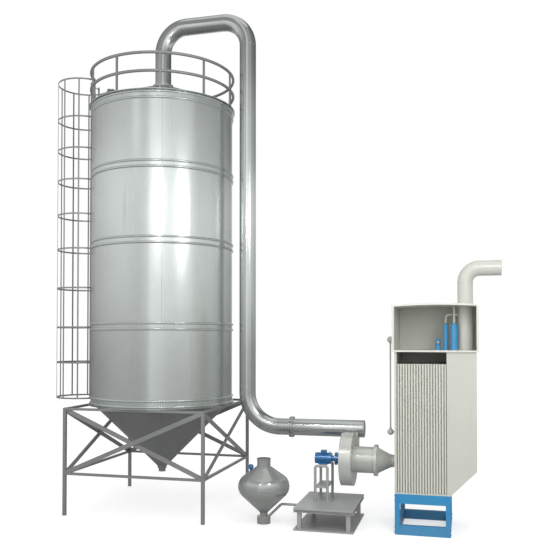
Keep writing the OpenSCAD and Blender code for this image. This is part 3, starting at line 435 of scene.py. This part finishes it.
def hatch_fittings():
    """A rim and bolts round the hatch's lid, and a handle on it."""
    hatch = extent["roof_hatch"]
    lid = Vector((hatch.mid.x, hatch.mid.y, hatch.high.z))
    lid_r = hatch.size.x / 2
    grip_half, grip_up, grip_r = 0.040 * RIGHT, 0.045 * UP, 0.007
    form = bmesh.new()
    collar(form, lid, UP, inner=lid_r - 0.0005, outer=lid_r + 0.017, low=-0.030, high=0.008, steps=48)
    bolt_circle(form, lid, UP, radius=lid_r - 0.013, count=8, size=0.009, start=22.5)
    for side in (-1, 1):
        foot = lid + side * grip_half
        rod(form, foot, foot + grip_up, radius=grip_r)
    past = grip_half + grip_r * RIGHT
    rod(form, lid + grip_up - past, lid + grip_up + past, radius=grip_r)
    piece("hatch_fittings", "hopper_grey", form)


# Handrail, cage and ladder

# Sizes of the rails, posts and hoops in metres, and steps round in degrees
RAIL_D = 0.086
POST_W = 0.052
POST_STEP = 34.6
HOOP_H = 0.050
HOOP_T = 0.010
BAR_STEP = 36
hoops = extent["cage_hoops"]
bar_face_r = hoops.high.y + 0.002
cage_axis = Vector((extent["cage_bars"].low.x + bar_face_r, hoops.mid.y, 0.0))


def gate_angle(rail_r):
    """Degrees from the ladder to where the cage's hoops meet the handrail's circle."""
    hoop_r = hoops.high.y - HOOP_T / 2
    reach = (tank_axis - cage_axis).length
    meet = math.acos((reach ** 2 + hoop_r ** 2 - rail_r ** 2) / (2 * reach * hoop_r))
    return math.degrees(math.atan2(hoop_r * math.sin(meet), reach - hoop_r * math.cos(meet)))


def handrail_fittings():
    """A foot plate and two bolts under each post, and welds round the rails at all but the gate's."""
    rails = extent["handrail_rails"]
    base_z = extent["roof_rim"].high.z
    rail_r = rails.high.x - tank_axis.x - RAIL_D / 2
    gate = gate_angle(rail_r)
    rail_zs = (rails.low.z + RAIL_D / 2, rails.high.z - RAIL_D / 2)
    posts = [(180 - gate, RAIL_D), (180 + gate, RAIL_D)]
    posts += [(POST_STEP * k, POST_W) for k in range(-4, 5)]
    past_x, past_y, thick = 0.004, 0.044, 0.010
    weld_r = RAIL_D / 2 - 0.0005
    feet, bolts, welds = bmesh.new(), bmesh.new(), bmesh.new()
    for degrees, width in posts:
        turn = Matrix.Rotation(math.radians(degrees), 4, "Z")
        place = Matrix.Translation(round_tank(rail_r, degrees, base_z)) @ turn
        half = Vector((width / 2 + past_x, width / 2 + past_y, 0.0))
        slab(feet, -half, half + thick * UP, edge=0.002, place=place)
        for side in (FRONT, BACK):
            bolt(bolts, place @ (side * (width / 2 + 0.024) + thick * UP), UP, size=0.010)
        if width == POST_W:
            for z in rail_zs:
                bead(welds, round_tank(rail_r, degrees, z), turn.to_3x3() @ BACK, radius=weld_r, thick=0.003,
                     steps=32)
    piece("handrail_feet", "frame_steel", feet)
    piece("handrail_bolts", "frame_steel", bolts, bolt_finish)
    piece("handrail_welds", "frame_steel", welds)


def cage_fittings():
    """A round head where each bar crosses a hoop, and bolts through the ladder's brackets."""
    brackets = extent["ladder_brackets"]
    joints = [brackets.low.z + HOOP_H / 2]
    joints += [course.high.z for course in courses[:3]]
    joints += [brackets.high.z - HOOP_H / 2]
    between = [(low + high) / 2 for low, high in zip(joints, joints[1:])]
    top = hoops.high.z - HOOP_H / 2
    form = bmesh.new()
    for z in joints + between + [top]:
        for k in range(-3, 4):
            out = Matrix.Rotation(math.radians(180 + BAR_STEP * k), 3, "Z") @ RIGHT
            screw(form, cage_axis + z * UP + bar_face_r * out, out, size=0.013)
    for z in joints:
        for in_x in (0.014, 0.046):
            bolt(form, Vector((brackets.low.x + in_x, brackets.low.y, z)), FRONT, size=0.009)
            bolt(form, Vector((brackets.low.x + in_x, brackets.high.y, z)), BACK, size=0.009)
    piece("cage_bolts", "frame_steel", form, bolt_finish)


# Tower frame and hopper

def frame_fittings():
    """Bolts through the braces' ends and crossings, and welds round the beams' ends."""
    leg_w, beam_w, brace_t = 0.090, 0.070, 0.040
    beams, braces = extent["frame_beams"], extent["frame_braces"]
    clear = extent["frame_legs"].size.x / 2 - leg_w
    near_y = braces.low.y
    far_y = near_y + 2 * brace_t
    mid_z = braces.mid.z
    lean = math.atan2(braces.size.z, 2 * clear)
    half = math.hypot(braces.size.z, 2 * clear) / 2
    beam_y = beams.low.y + beam_w / 2
    beam_zs = (beams.low.z + beam_w / 2, beams.high.z - beam_w / 2)
    bolts, welds = bmesh.new(), bmesh.new()
    for turn in range(4):
        place = Matrix.Translation(tank_axis) @ Matrix.Rotation(math.pi / 2 * turn, 4, "Z")
        outward = place.to_3x3() @ FRONT
        bolt(bolts, place @ Vector((0.0, near_y, mid_z)), outward, size=0.022)
        bolt(bolts, place @ Vector((0.0, far_y, mid_z)), -outward, size=0.022)
        for end in (-1, 1):
            for from_end in (0.150, 0.235):
                along = end * (half - from_end)
                x, z = along * math.cos(lean), mid_z + along * math.sin(lean)
                bolt(bolts, place @ Vector((x, near_y, z)), outward, size=0.018)
                bolt(bolts, place @ Vector((-x, far_y, z)), -outward, size=0.018)
            for z in beam_zs:
                middle = Vector((end * (clear - 0.001), beam_y, z))
                corners = [place @ (middle + beam_w / 2 * Vector((0, v, w))) for v, w in CORNERS]
                weld_round(welds, corners, radius=0.006)
    piece("brace_bolts", "frame_steel", bolts, bolt_finish)
    piece("beam_welds", "frame_steel", welds)


def hopper_fittings():
    """Welds down the cone and round its outlet, and bolts under the outlet's flange."""
    cone, outlet = extent["hopper_cone"], extent["hopper_outlet"]
    cone_r, flange_r = cone.size.x / 2, outlet.size.x / 2
    stub_r, flange_h = 0.108, 0.092
    weld, short = 0.006, 0.003
    under = round_tank(0, 0, outlet.high.z - flange_h)
    form = bmesh.new()
    for k in range(PLATES):
        degrees = 360 / PLATES * (k + 0.5)
        high = round_tank(cone_r - weld, degrees, cone.high.z - weld)
        low = round_tank(flange_r + short, degrees, cone.low.z + short)
        rod(form, high, low, radius=weld)
    bead(form, round_tank(0, 0, cone.low.z), UP, radius=flange_r, thick=0.007, steps=64)
    bead(form, under + 0.001 * DOWN, UP, radius=stub_r, thick=0.006, steps=48)
    piece("hopper_welds", "hopper_grey", form)
    bolts = bmesh.new()
    bolt_circle(bolts, under, DOWN, radius=stub_r + 0.015, count=8, size=0.009)
    piece("outlet_bolts", "hopper_grey", bolts, bolt_finish)


# Gas duct

def duct_fittings():
    """Welds at the bends, a seam down the back of each run, and the flange's bolts and gasket."""
    riser, down = extent["duct_riser"], extent["duct_downcomer"]
    top, low = extent["duct_top_run"], extent["duct_low_run"]
    flange = extent["duct_flange"]
    flange_r = flange.size.z / 2
    seam_y = duct_r - 0.001
    gap, bend_gap, neck_gap = 0.005, 0.006, 0.0085
    form = bmesh.new()
    for run, z in ((riser, riser.high.z), (down, down.high.z), (down, down.low.z)):
        bead(form, Vector((run.mid.x, 0.0, z)), UP, radius=duct_r, thick=0.006)
    for run in (top, low):
        for x in (run.low.x, run.high.x):
            bead(form, Vector((x, 0.0, run.mid.z)), RIGHT, radius=duct_r, thick=0.006)
    for run, foot_gap in ((riser, neck_gap), (down, bend_gap)):
        foot = Vector((run.mid.x, seam_y, run.low.z + foot_gap))
        head = Vector((run.mid.x, seam_y, run.high.z - gap))
        rod(form, foot, head, radius=SEAM_R)
    level_seams = (
        (top.mid.z, top.low.x + gap, top.high.x - gap),
        (low.mid.z, low.low.x + bend_gap, flange.low.x - gap),
        (low.mid.z, flange.high.x + gap, low.high.x - gap),
    )
    for z, left, right in level_seams:
        rod(form, Vector((left, seam_y, z)), Vector((right, seam_y, z)), radius=SEAM_R)
    for x in (flange.low.x, flange.high.x):
        bead(form, Vector((x, 0.0, flange.mid.z)), RIGHT, radius=duct_r + 0.003, thick=0.008)
    piece("duct_welds", "duct_steel", form, weld_finish)

    bolts = bmesh.new()
    for x, out in ((flange.low.x, LEFT), (flange.high.x, RIGHT)):
        bolt_circle(bolts, Vector((x, 0.0, flange.mid.z)), out, radius=flange_r - 0.027, count=16,
                    size=0.013)
    piece("duct_flange_bolts", "duct_steel", bolts, bolt_finish)

    gasket = bmesh.new()
    collar(gasket, flange.mid, RIGHT, inner=flange_r - 0.011, outer=flange_r + 0.0025, low=-0.004,
           high=0.004)
    piece("duct_gasket", "duct_steel", gasket, rubber_finish)


# Fan, its inlet and its motor

fan = extent["fan_housing"]
inlet = extent["fan_inlet_pipe"]
reducer = extent["fan_inlet_cone"]
motor = extent["motor"]
stand = extent["motor_stand_plates"]
INLET_FLANGE_W = 0.090
REDUCER_CONE = 0.384
STUB_R = 0.170


def on_axle(x):
    """A point on the fan's axis."""
    return Vector((x, stand.mid.y, reducer.mid.z))


def fan_fittings():
    """Rolled lips and bolts on both side plates, welds on the neck, and the inlet's rings and bolts."""
    axle = on_axle(0)
    fan_r, inlet_r, motor_neck_r = fan.high.y - axle.y, reducer.size.y / 2, 0.144
    plate_t, plate_r = 0.016, 0.210
    neck_y, neck_low, neck_high = axle.y + 0.415, axle.z + 0.004, axle.z + 0.695
    back_low, back_high = axle.z + 0.070, axle.z + 0.555
    lips, bolts = bmesh.new(), bmesh.new()
    for x, out, root_r in ((fan.low.x, LEFT, motor_neck_r), (inlet.low.x, RIGHT, inlet_r)):
        bead(lips, on_axle(x), out, radius=fan_r, thick=0.007, steps=160)
        bolt_circle(bolts, on_axle(x), out, radius=fan_r - 0.038, count=28, size=0.011, start=6)
        bead(lips, on_axle(x), out, radius=root_r, thick=0.010)
    for x, out in ((inlet.high.x, RIGHT), (inlet.high.x - INLET_FLANGE_W, LEFT)):
        bolt_circle(bolts, on_axle(x), out, radius=inlet.size.y / 2 - 0.035, count=16, size=0.012)
    bead(lips, on_axle(reducer.low.x + REDUCER_CONE), RIGHT, radius=STUB_R, thick=0.007)
    collar(lips, on_axle(reducer.high.x), LEFT, inner=STUB_R - 0.002, outer=plate_r, low=0.0, high=plate_t,
           steps=64)
    bolt_circle(bolts, on_axle(reducer.high.x - plate_t), LEFT, radius=plate_r - 0.019, count=12, size=0.008)
    for x in (fan.low.x, fan.high.x):
        rod(lips, Vector((x, fan.high.y, back_low)), Vector((x, fan.high.y, back_high)), radius=0.006)
    for x in (fan.high.x, inlet.low.x + 0.001):
        rod(lips, Vector((x, neck_y, neck_low)), Vector((x, neck_y, neck_high)), radius=0.006)
    piece("fan_lips", "fan_grey", lips)
    piece("fan_bolts", "fan_grey", bolts, bolt_finish)


def inlet_reducer():
    """A straight cone from the inlet's flange that eases into its stub, in place of the swept one."""
    ease, thick, steps = 0.080, 0.008, 6
    wide_r = reducer.size.y / 2
    steep = (wide_r - STUB_R) / REDUCER_CONE
    line = [(wide_r, 0.0)]
    for k in range(steps + 1):
        along = k / steps
        height = REDUCER_CONE + ease * (2 * along - 1)
        line.append((STUB_R + steep * ease * (1 - along) ** 2, height))
    line.append((STUB_R, reducer.size.x))
    inside = [(r - thick, h) for r, h in reversed(line)]
    form = bmesh.new()
    turned(form, line + inside, on_axle(reducer.low.x), RIGHT)
    made = piece("inlet_reducer", "fan_grey", form)
    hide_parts("fan_inlet_cone")


def motor_fittings():
    """Cowl grille, terminal lid and gland, lifting eye, rings round the body, and bolts."""
    body_r = 0.1565
    cowl = on_axle(motor.low.x)
    grille = cowl + 0.003 * LEFT
    form, bolts = bmesh.new(), bmesh.new()
    for radius in spread(0.036, 0.120, 4):
        bead(form, grille, LEFT, radius=radius, thick=0.005, steps=48)
    spoke_feet = circle(grille, LEFT, radius=0.015, count=8)
    spoke_tips = circle(grille, LEFT, radius=0.135, count=8)
    for foot, tip in zip(spoke_feet, spoke_tips):
        rod(form, foot, tip, radius=0.004, sides=6)
    turned(form, [(0.130, 0.0), (0.158, 0.0), (0.158, 0.010), (0.130, 0.014)], cowl, LEFT, steps=64)
    screw(form, cowl, LEFT, size=0.026)

    lid_half, lid_t = 0.085, 0.011
    lid = Vector((stand.mid.x, stand.mid.y, motor.high.z))
    across = lid_half * (RIGHT + BACK)
    slab(form, lid - across, lid + across + lid_t * UP, edge=0.004)
    saddle = Vector((stand.mid.x, stand.mid.y, stand.high.z + 0.052))
    for sx, sy in CORNERS:
        screw(bolts, lid + 0.070 * Vector((sx, sy, 0)) + lid_t * UP, UP, size=0.008)
        bolt(bolts, saddle + Vector((0.118 * sx, 0.095 * sy, 0)), UP, size=0.012)

    gland = lid + 0.080 * FRONT + 0.044 * DOWN
    nut, cap = 0.022 * FRONT, 0.042 * FRONT
    rod(form, gland, gland + nut, radius=0.030, sides=6)
    rod(form, gland + nut, gland + cap, radius=0.022, sides=16, tip=0.016)
    eye = on_axle(stand.mid.x + 0.167) + 0.154 * UP
    bead(form, eye + 0.028 * UP, FRONT, radius=0.024, thick=0.007, steps=32)
    rod(form, eye, eye + 0.008 * UP, radius=0.020, sides=16)
    bolt_circle(bolts, on_axle(motor.high.x - 0.212), LEFT, radius=0.158, count=8, size=0.011, start=22.5)
    for from_cowl in (0.058, 0.408):
        bead(form, on_axle(motor.low.x + from_cowl), RIGHT, radius=body_r, thick=0.003, steps=64)
    piece("motor_fittings", "motor_blue", form)
    piece("motor_bolts", "motor_blue", bolts, bolt_finish)


# Stands

def fan_stand_fittings():
    """Foot rings and welds of the bent tubes, screws round the base's top, and welds round its posts."""
    top, posts = extent["base_top_plate"], extent["base_posts"]
    tube_r, shelf_t, post_w, off = 0.040, 0.060, 0.110, 0.008
    foot_ring = [(0.038, 0.0), (0.072, 0.0), (0.072, 0.010), (0.050, 0.012), (0.038, 0.020)]
    form, bolts = bmesh.new(), bmesh.new()
    for sx, sy in CORNERS:
        foot = Vector((stand.mid.x + sx * stand.size.x / 2, stand.mid.y + sy * stand.size.y / 2, top.high.z))
        turned(form, foot_ring, foot, UP, steps=40)
        bolt_circle(bolts, foot + 0.010 * UP, UP, radius=0.060, count=4, size=0.007, start=45)
        for z in (stand.low.z, stand.low.z + shelf_t):
            bead(form, Vector((foot.x, foot.y, z)), UP, radius=tube_r, thick=0.005, steps=32)
        middle = Vector((stand.mid.x, foot.y - sy * 0.038, stand.high.z + 0.001))
        rod(form, middle, middle + sx * 0.108 * RIGHT, radius=0.006)
    for side in (-1, 1):
        for y in spread(top.low.y + 0.067, top.high.y - 0.067, 6):
            screw(bolts, Vector((top.mid.x + side * (top.size.x / 2 - 0.043), y, top.high.z)), UP,
                  size=0.012)
        for x in spread(top.low.x + 0.149, top.high.x - 0.149, 5):
            screw(bolts, Vector((x, top.mid.y + side * (top.size.y / 2 - 0.037), top.high.z)), UP,
                  size=0.012)
    for sx, sy in CORNERS:
        in_x, in_y = (posts.size.x - post_w) / 2, (posts.size.y - post_w) / 2
        post = Vector((posts.mid.x + sx * in_x, posts.mid.y + sy * in_y, posts.low.z + off / 2))
        weld_round(form, [post + (post_w / 2 + off) * Vector((u, v, 0)) for u, v in CORNERS], radius=0.007,
                   sides=6)
    piece("stand_fittings", "stand_grey", form)
    piece("stand_bolts", "stand_grey", bolts, bolt_finish)


def filter_stand_fittings():
    """Bolts through the beams' ends on all four sides, and welds beside the posts."""
    posts = extent["filter_stand_posts"]
    post_w, side_in, beam_h = 0.128, 0.060, 0.255
    beam_zs = (posts.low.z, posts.high.z - beam_h)
    from_end = (0.064, 0.190)
    bolt_zs = [posts.low.z + up for up in from_end] + [posts.high.z - down for down in from_end]
    form, bolts = bmesh.new(), bmesh.new()
    for x in (posts.low.x + post_w / 2, posts.high.x - post_w / 2):
        for y, out in ((posts.low.y, FRONT), (posts.high.y, BACK)):
            for z in bolt_zs:
                bolt(bolts, Vector((x, y, z)), out, size=0.017)
    for x, out in ((posts.low.x, LEFT), (posts.high.x, RIGHT)):
        for y in (posts.low.y + side_in, posts.high.y - side_in):
            for z in bolt_zs:
                bolt(bolts, Vector((x, y, z)), out, size=0.017)
    for x in (posts.low.x + post_w, posts.high.x - post_w):
        for y in (posts.low.y + 0.001, posts.high.y - 0.001):
            for z in beam_zs:
                rod(form, Vector((x, y, z + 0.006)), Vector((x, y, z + beam_h - 0.006)), radius=0.006)
    piece("filter_stand_welds", "stand_blue", form)
    piece("filter_stand_bolts", "stand_blue", bolts)


# Filter and hood

wall = extent["filter_left_wall"]
partition = extent["filter_partition"]
chamber = extent["filter_chamber"]
PANEL_SCREW = 0.008


def lamella_spacers():
    """Strips between the lamellae, set back from their front edges."""
    lamellae = extent["filter_lamellae"]
    gaps, strip_half, set_back, strip_t, short = 18, 0.014, 0.084, 0.006, 0.002
    front_y = lamellae.low.y + set_back
    form = bmesh.new()
    for x in spread(wall.high.x, partition.low.x, gaps + 1):
        left = max(x - strip_half, wall.high.x)
        right = min(x + strip_half, partition.low.x)
        low = Vector((left, front_y, lamellae.low.z + short))
        high = Vector((right, front_y + strip_t, lamellae.high.z - short))
        slab(form, low, high, edge=0.002)
    piece("lamella_spacers", "lamella_plastic", form)


def casing_screws():
    """Screws down the panels' edges, on the chamber's front and right above its slant, and under the hood."""
    slant_rise, clear = 0.660, 0.128
    above_slant = chamber.low.z + slant_rise + clear
    past_joint = 0.036
    seam_x = chamber.low.x + past_joint
    rows = [(wall.mid.x, wall.low.y, FRONT), (chamber.low.x - 0.044, wall.low.y, FRONT)]
    rows += [(wall.low.x, wall.low.y + 0.045, LEFT), (wall.low.x, wall.high.y - 0.045, LEFT)]
    rows += [(wall.high.x + past_joint, wall.high.y, BACK), (seam_x, wall.high.y, BACK)]
    upper_rows = [(seam_x, chamber.low.y, FRONT), (chamber.high.x - 0.034, chamber.low.y, FRONT)]
    upper_rows += [(chamber.high.x, y, RIGHT) for y in (chamber.low.y + 0.035, chamber.high.y - 0.035)]
    form = bmesh.new()
    for z in spread(wall.low.z + 0.098, wall.high.z - 0.100, 13):
        for x, y, out in rows + (upper_rows if z > above_slant else []):
            screw(form, Vector((x, y, z)), out, size=PANEL_SCREW)
    for y in spread(wall.low.y + 0.135, wall.high.y - 0.145, 7):
        screw(form, Vector((wall.low.x, y, wall.high.z - 0.040)), LEFT, size=PANEL_SCREW)
        screw(form, Vector((chamber.high.x, y, wall.high.z - 0.040)), RIGHT, size=PANEL_SCREW)
    piece("casing_screws", "casing_grey", form, bolt_finish)


def hood_rivets():
    """Rivets up both sides of the open front, at the side walls' edges and along the floor's edge."""
    sides, floor = extent["hood_side_walls"], extent["hood_floor"]
    wall_half, edge_in, first, pitch = 0.029, 0.035, 0.056, 0.120
    floor_row_z = floor.low.z + 0.023
    form = bmesh.new()
    for z in (sides.low.z + first + pitch * k for k in range(10)):
        for x in (sides.low.x + wall_half, sides.high.x - wall_half):
            screw(form, Vector((x, sides.low.y, z)), FRONT, size=0.007)
        for y in (sides.low.y + edge_in, sides.high.y - edge_in):
            screw(form, Vector((sides.low.x, y, z)), LEFT, size=0.007)
            screw(form, Vector((sides.high.x, y, z)), RIGHT, size=0.007)
    for x in spread(floor.low.x + 0.076, floor.high.x - 0.091, 15):
        screw(form, Vector((x, floor.low.y, floor_row_z)), FRONT, size=0.006)
    piece("hood_rivets", "hood_grey", form, bolt_finish)


# Pipes at the filter

def outlet_fittings():
    """A skirt on the hood's roof, welds at the bend, and beads at the pipe's two ends."""
    pipes, bend = extent["outlet_pipes"], extent["outlet_bend"]
    pipe_r = 0.2025
    upright = Vector((pipes.low.x + pipe_r, pipes.mid.y, 0.0))
    level = Vector((0.0, pipes.mid.y, pipes.high.z - pipe_r))
    roof_z = extent["hood_roof"].high.z - 0.008
    skirt = [(pipe_r, -0.030), (0.250, -0.030), (0.250, 0.004), (0.212, 0.040), (pipe_r, 0.044)]
    form = bmesh.new()
    turned(form, skirt, upright + roof_z * UP, UP, steps=80)
    bead(form, upright + bend.low.z * UP, UP, radius=pipe_r, thick=0.006)
    bead(form, level + bend.high.x * RIGHT, RIGHT, radius=pipe_r, thick=0.006)
    bead(form, level + (pipes.high.x - 0.007) * RIGHT, RIGHT, radius=pipe_r - 0.002, thick=0.009)
    bead(form, upright + (pipes.low.z + 0.004) * UP, UP, radius=pipe_r + 0.002, thick=0.009)
    piece("outlet_fittings", "casing_grey", form)


def air_fittings():
    """Bands and unions on both bottles, and a ring and a round knob on the drain pot."""
    bottles, pipes = extent["air_cylinders"], extent["air_pipes"]
    wide_r, narrow_r, pipe_r = 0.093, 0.067, 0.030
    wide = Vector((bottles.high.x - wide_r, bottles.low.y + wide_r, 0.0))
    narrow = Vector((pipes.low.x + pipe_r, bottles.high.y - narrow_r, 0.0))
    pot = Vector((bottles.low.x + narrow_r, narrow.y, 0.0))
    bands, unions = bmesh.new(), bmesh.new()
    for bottle, radius in ((wide, wide_r), (narrow, narrow_r)):
        for up in (0.096, 0.491):
            middle = bottle + (bottles.low.z + up) * UP
            collar(bands, middle, UP, inner=radius - 0.002, outer=radius + 0.004, low=-0.016, high=0.016,
                   steps=48)
        seat = bottle + (bottles.high.z - 0.009) * UP
        rod(unions, seat, seat + 0.036 * UP, radius=0.042, sides=6)
        rod(unions, seat + 0.036 * UP, seat + 0.052 * UP, radius=0.036, sides=16)
    pot_ring = [(0.060, 0.0), (0.072, 0.0), (0.072, 0.012), (0.060, 0.016)]
    turned(bands, pot_ring, pot + (bottles.low.z + 0.261) * UP, UP, steps=40)
    knob = bmesh.new()
    bmesh.ops.create_uvsphere(knob, u_segments=24, v_segments=14, radius=0.052)
    set_in(unions, knob, Matrix.Translation(pot + 0.076 * FRONT + (bottles.low.z + 0.203) * UP))
    piece("bottle_bands", "air_blue", bands)
    piece("air_unions", "casing_grey", unions, bolt_finish)


def sight_tube_nuts():
    """A nut and a collar beside each of the sight tube's balls."""
    tube = extent["sight_tube"]
    ball_r = 0.088
    axis = Vector((tube.low.x + ball_r, tube.mid.y, 0.0))
    form = bmesh.new()
    for z, inward in ((tube.low.z + ball_r, UP), (tube.high.z - ball_r, DOWN)):
        ball = axis + z * UP
        rod(form, ball + 0.082 * inward, ball + 0.116 * inward, radius=0.033, sides=6)
        rod(form, ball + 0.116 * inward, ball + 0.132 * inward, radius=0.027, sides=16)
    piece("sight_nuts", "fan_grey", form, bolt_finish)


# Dust vessel

def vessel_fittings():
    """Welds round the belly, the mouth and the foot, a ring round the mouth, and the foot's bolts."""
    shell, foot = extent["vessel_shell"], extent["vessel_foot"]
    belly_z, mouth_r, below = foot.high.z + 0.823, 0.188, 0.006
    foot_r = foot.size.x / 2
    axis = Vector((shell.mid.x, foot.mid.y, 0.0))
    mouth = axis + (shell.high.z - below) * UP
    form, bolts = bmesh.new(), bmesh.new()
    bead(form, axis + belly_z * UP, UP, radius=shell.size.x / 2 - 0.001, thick=0.006, steps=140)
    bead(form, mouth, UP, radius=mouth_r, thick=0.008, steps=80)
    collar(form, mouth, UP, inner=mouth_r - 0.002, outer=mouth_r + 0.012, low=-0.020, high=0.004, steps=80)
    bolt_circle(bolts, axis + foot.high.z * UP, UP, radius=foot_r - 0.028, count=10, size=0.010)
    bead(form, axis + (foot.high.z - below) * UP, UP, radius=foot_r, thick=0.006, steps=80)
    piece("vessel_welds", "vessel_steel", form, weld_finish)
    piece("vessel_bolts", "vessel_steel", bolts, bolt_finish)


tank_seams()
roof_seams()
neck_bolts()
hatch_fittings()
handrail_fittings()
cage_fittings()
frame_fittings()
hopper_fittings()
duct_fittings()
fan_fittings()
inlet_reducer()
motor_fittings()
fan_stand_fittings()
filter_stand_fittings()
lamella_spacers()
casing_screws()
hood_rivets()
outlet_fittings()
air_fittings()
sight_tube_nuts()
vessel_fittings()


# Studio: a white floor, a soft sky, lamps, and a grey wall that only reflections see

def stage_piece(name, form):
    """A thing of the studio, not of the plant."""
    mesh = bpy.data.meshes.new(name)
    form.to_mesh(mesh)
    form.free()
    made = bpy.data.objects.new(name, mesh)
    bpy.context.scene.collection.objects.link(made)
    return made


def by_ray(tree, plain, mirrored, seen):
    """One shader for the light on things, one for reflections, and one for what is looked at."""
    path = tree.nodes.new("ShaderNodeLightPath")
    mixed = plain
    for ray, shader in (("Is Glossy Ray", mirrored), ("Is Transmission Ray", seen), ("Is Camera Ray", seen)):
        share = tree.nodes.new("ShaderNodeMixShader")
        tree.links.new(path.outputs[ray], share.inputs[0])
        tree.links.new(mixed.outputs[0], share.inputs[1])
        tree.links.new(shader.outputs[0], share.inputs[2])
        mixed = share
    return mixed


def even(tree, kind, level):
    """A white shader of one strength."""
    made = tree.nodes.new(kind)
    made.inputs["Color"].default_value = (1.0, 1.0, 1.0, 1.0)
    made.inputs["Strength"].default_value = level
    return made


def lay_floor(reach, grey, glow, mirrored):
    """A floor that keeps the shadow, and glows for the camera alone so that it is white."""
    form = bmesh.new()
    bmesh.ops.create_grid(form, x_segments=1, y_segments=1, size=reach)
    floor = stage_piece("floor", form)
    paint = bpy.data.materials.new("floor white")
    paint.use_nodes = True
    tree = paint.node_tree
    tree.nodes.clear()
    matt = tree.nodes.new("ShaderNodeBsdfDiffuse")
    matt.inputs["Color"].default_value = (grey, grey, grey, 1.0)
    lit = tree.nodes.new("ShaderNodeAddShader")
    tree.links.new(matt.outputs[0], lit.inputs[0])
    tree.links.new(even(tree, "ShaderNodeEmission", glow).outputs[0], lit.inputs[1])
    mixed = by_ray(tree, matt, even(tree, "ShaderNodeEmission", mirrored), lit)
    ends = tree.nodes.new("ShaderNodeOutputMaterial")
    tree.links.new(mixed.outputs[0], ends.inputs[0])
    floor.data.materials.append(paint)


def hang_sky(plain, mirrored, seen):
    """A white sky, with a level for light, for reflections and for the camera."""
    world = bpy.data.worlds.new("studio")
    bpy.context.scene.world = world
    world.use_nodes = True
    tree = world.node_tree
    tree.nodes.clear()
    skies = [even(tree, "ShaderNodeBackground", level) for level in (plain, mirrored, seen)]
    ends = tree.nodes.new("ShaderNodeOutputWorld")
    tree.links.new(by_ray(tree, *skies).outputs[0], ends.inputs[0])


def softbox(name, side, height, distance, size, power, mirrored=False, aim=(0.0, 0.0, 5.0)):
    """A lamp that faces the plant, side degrees to the right of straight in front and height degrees up."""
    lamp = bpy.data.lights.new(name, "AREA")
    lamp.shape = "RECTANGLE"
    lamp.size, lamp.size_y = size
    lamp.energy = power
    holder = bpy.data.objects.new(name, lamp)
    bpy.context.scene.collection.objects.link(holder)
    a, e = math.radians(side), math.radians(height)
    away = Vector((math.sin(a) * math.cos(e), -math.cos(a) * math.cos(e), math.sin(e)))
    holder.location = Vector(aim) + distance * away
    holder.rotation_euler = away.to_track_quat("Z", "Y").to_euler()
    holder.visible_camera = False
    holder.visible_glossy = mirrored


def raise_wall(radius, low, high):
    """A round wall whose grey varies by degrees round from straight in front, and by height in metres."""
    form = bmesh.new()
    bmesh.ops.create_cone(form, cap_ends=False, segments=128, radius1=radius, radius2=radius,
                          depth=high - low, matrix=Matrix.Translation((0.0, 0.0, (low + high) / 2)))
    screen = stage_piece("studio wall", form)
    screen.visible_camera = False
    screen.visible_diffuse = False
    screen.visible_shadow = False
    screen.visible_transmission = False
    black = {"Base Color": (0.0, 0.0, 0.0, 1.0), "Roughness": 1.0, "Specular IOR Level": 0.0}
    f = Finish("studio wall", {**black, "Emission Strength": 1.0})
    side = f.bearing(0 - f.y, f.x) * (180 / math.pi)
    # The plain wall: brighter in front than behind, with a dip at the left
    around = 0.42 + 0.44 * f.ramp(side, -130, -52) - 0.10 * f.band(side, -34, -12, 8)
    around = around + 0.22 * f.ramp(side, -10, 2) - 0.25 * f.ramp(side, 63, 69)
    around = around - 0.22 * f.ramp(side, 90, 150) - 0.20 * f.ramp(side, 150, 172)
    # Brightest about 12 m up, dimmer near the floor and darkest at the top
    upward = 0.50 + 0.50 * f.ramp(f.z, 3.5, 8) + 0.32 * f.ramp(f.z, 8.5, 11.5)
    upward = upward - 0.50 * f.ramp(f.z, 13, 15.5) - 0.42 * f.ramp(f.z, 17, 21)
    # Two strips in front, a high patch at the left, a wide one at the right, a dark top there, one behind
    strips = 0.90 * f.band(side, -6, -2.5, 0.8)
    strips = strips + f.band(side, -3, 17, 4) * (0.20 + 0.20 * f.ramp(f.z, 13, 15))
    strips = strips + 0.60 * f.band(side, -32, -21, 3) * f.band(f.z, 14, 19, 1)
    strips = strips + 0.40 * f.band(side, 2, 58, 8) * f.band(f.z, 10.8, 13.2, 1.6)
    strips = strips - 0.16 * f.ramp(side, 63, 69) * f.ramp(f.z, 13, 15)
    strips = strips + 0.45 * f.band(side, -176, -154, 6)
    level = around * upward + strips
    grey = f.node("ShaderNodeCombineColor", {}, {0: level, 1: level, 2: level})
    screen.data.materials.append(f.show(emission_color=grey))


lay_floor(reach=150.0, grey=0.62, glow=0.55, mirrored=0.34)
hang_sky(plain=0.78, mirrored=0.95, seen=1.0)
softbox("spark", side=0, height=27, distance=12, size=(0.8, 0.8), power=85, mirrored=True,
        aim=(-0.2, 0.0, 5.0))
softbox("glint", side=40, height=27.5, distance=11.9, size=(2.2, 2.2), power=190, mirrored=True)
softbox("key", side=26, height=15, distance=28, size=(9, 12), power=2000)
softbox("fill", side=-40, height=15, distance=28, size=(14, 14), power=900)
softbox("top", side=10, height=78, distance=26, size=(14, 14), power=500)
raise_wall(radius=18.0, low=-2.0, high=46.0)
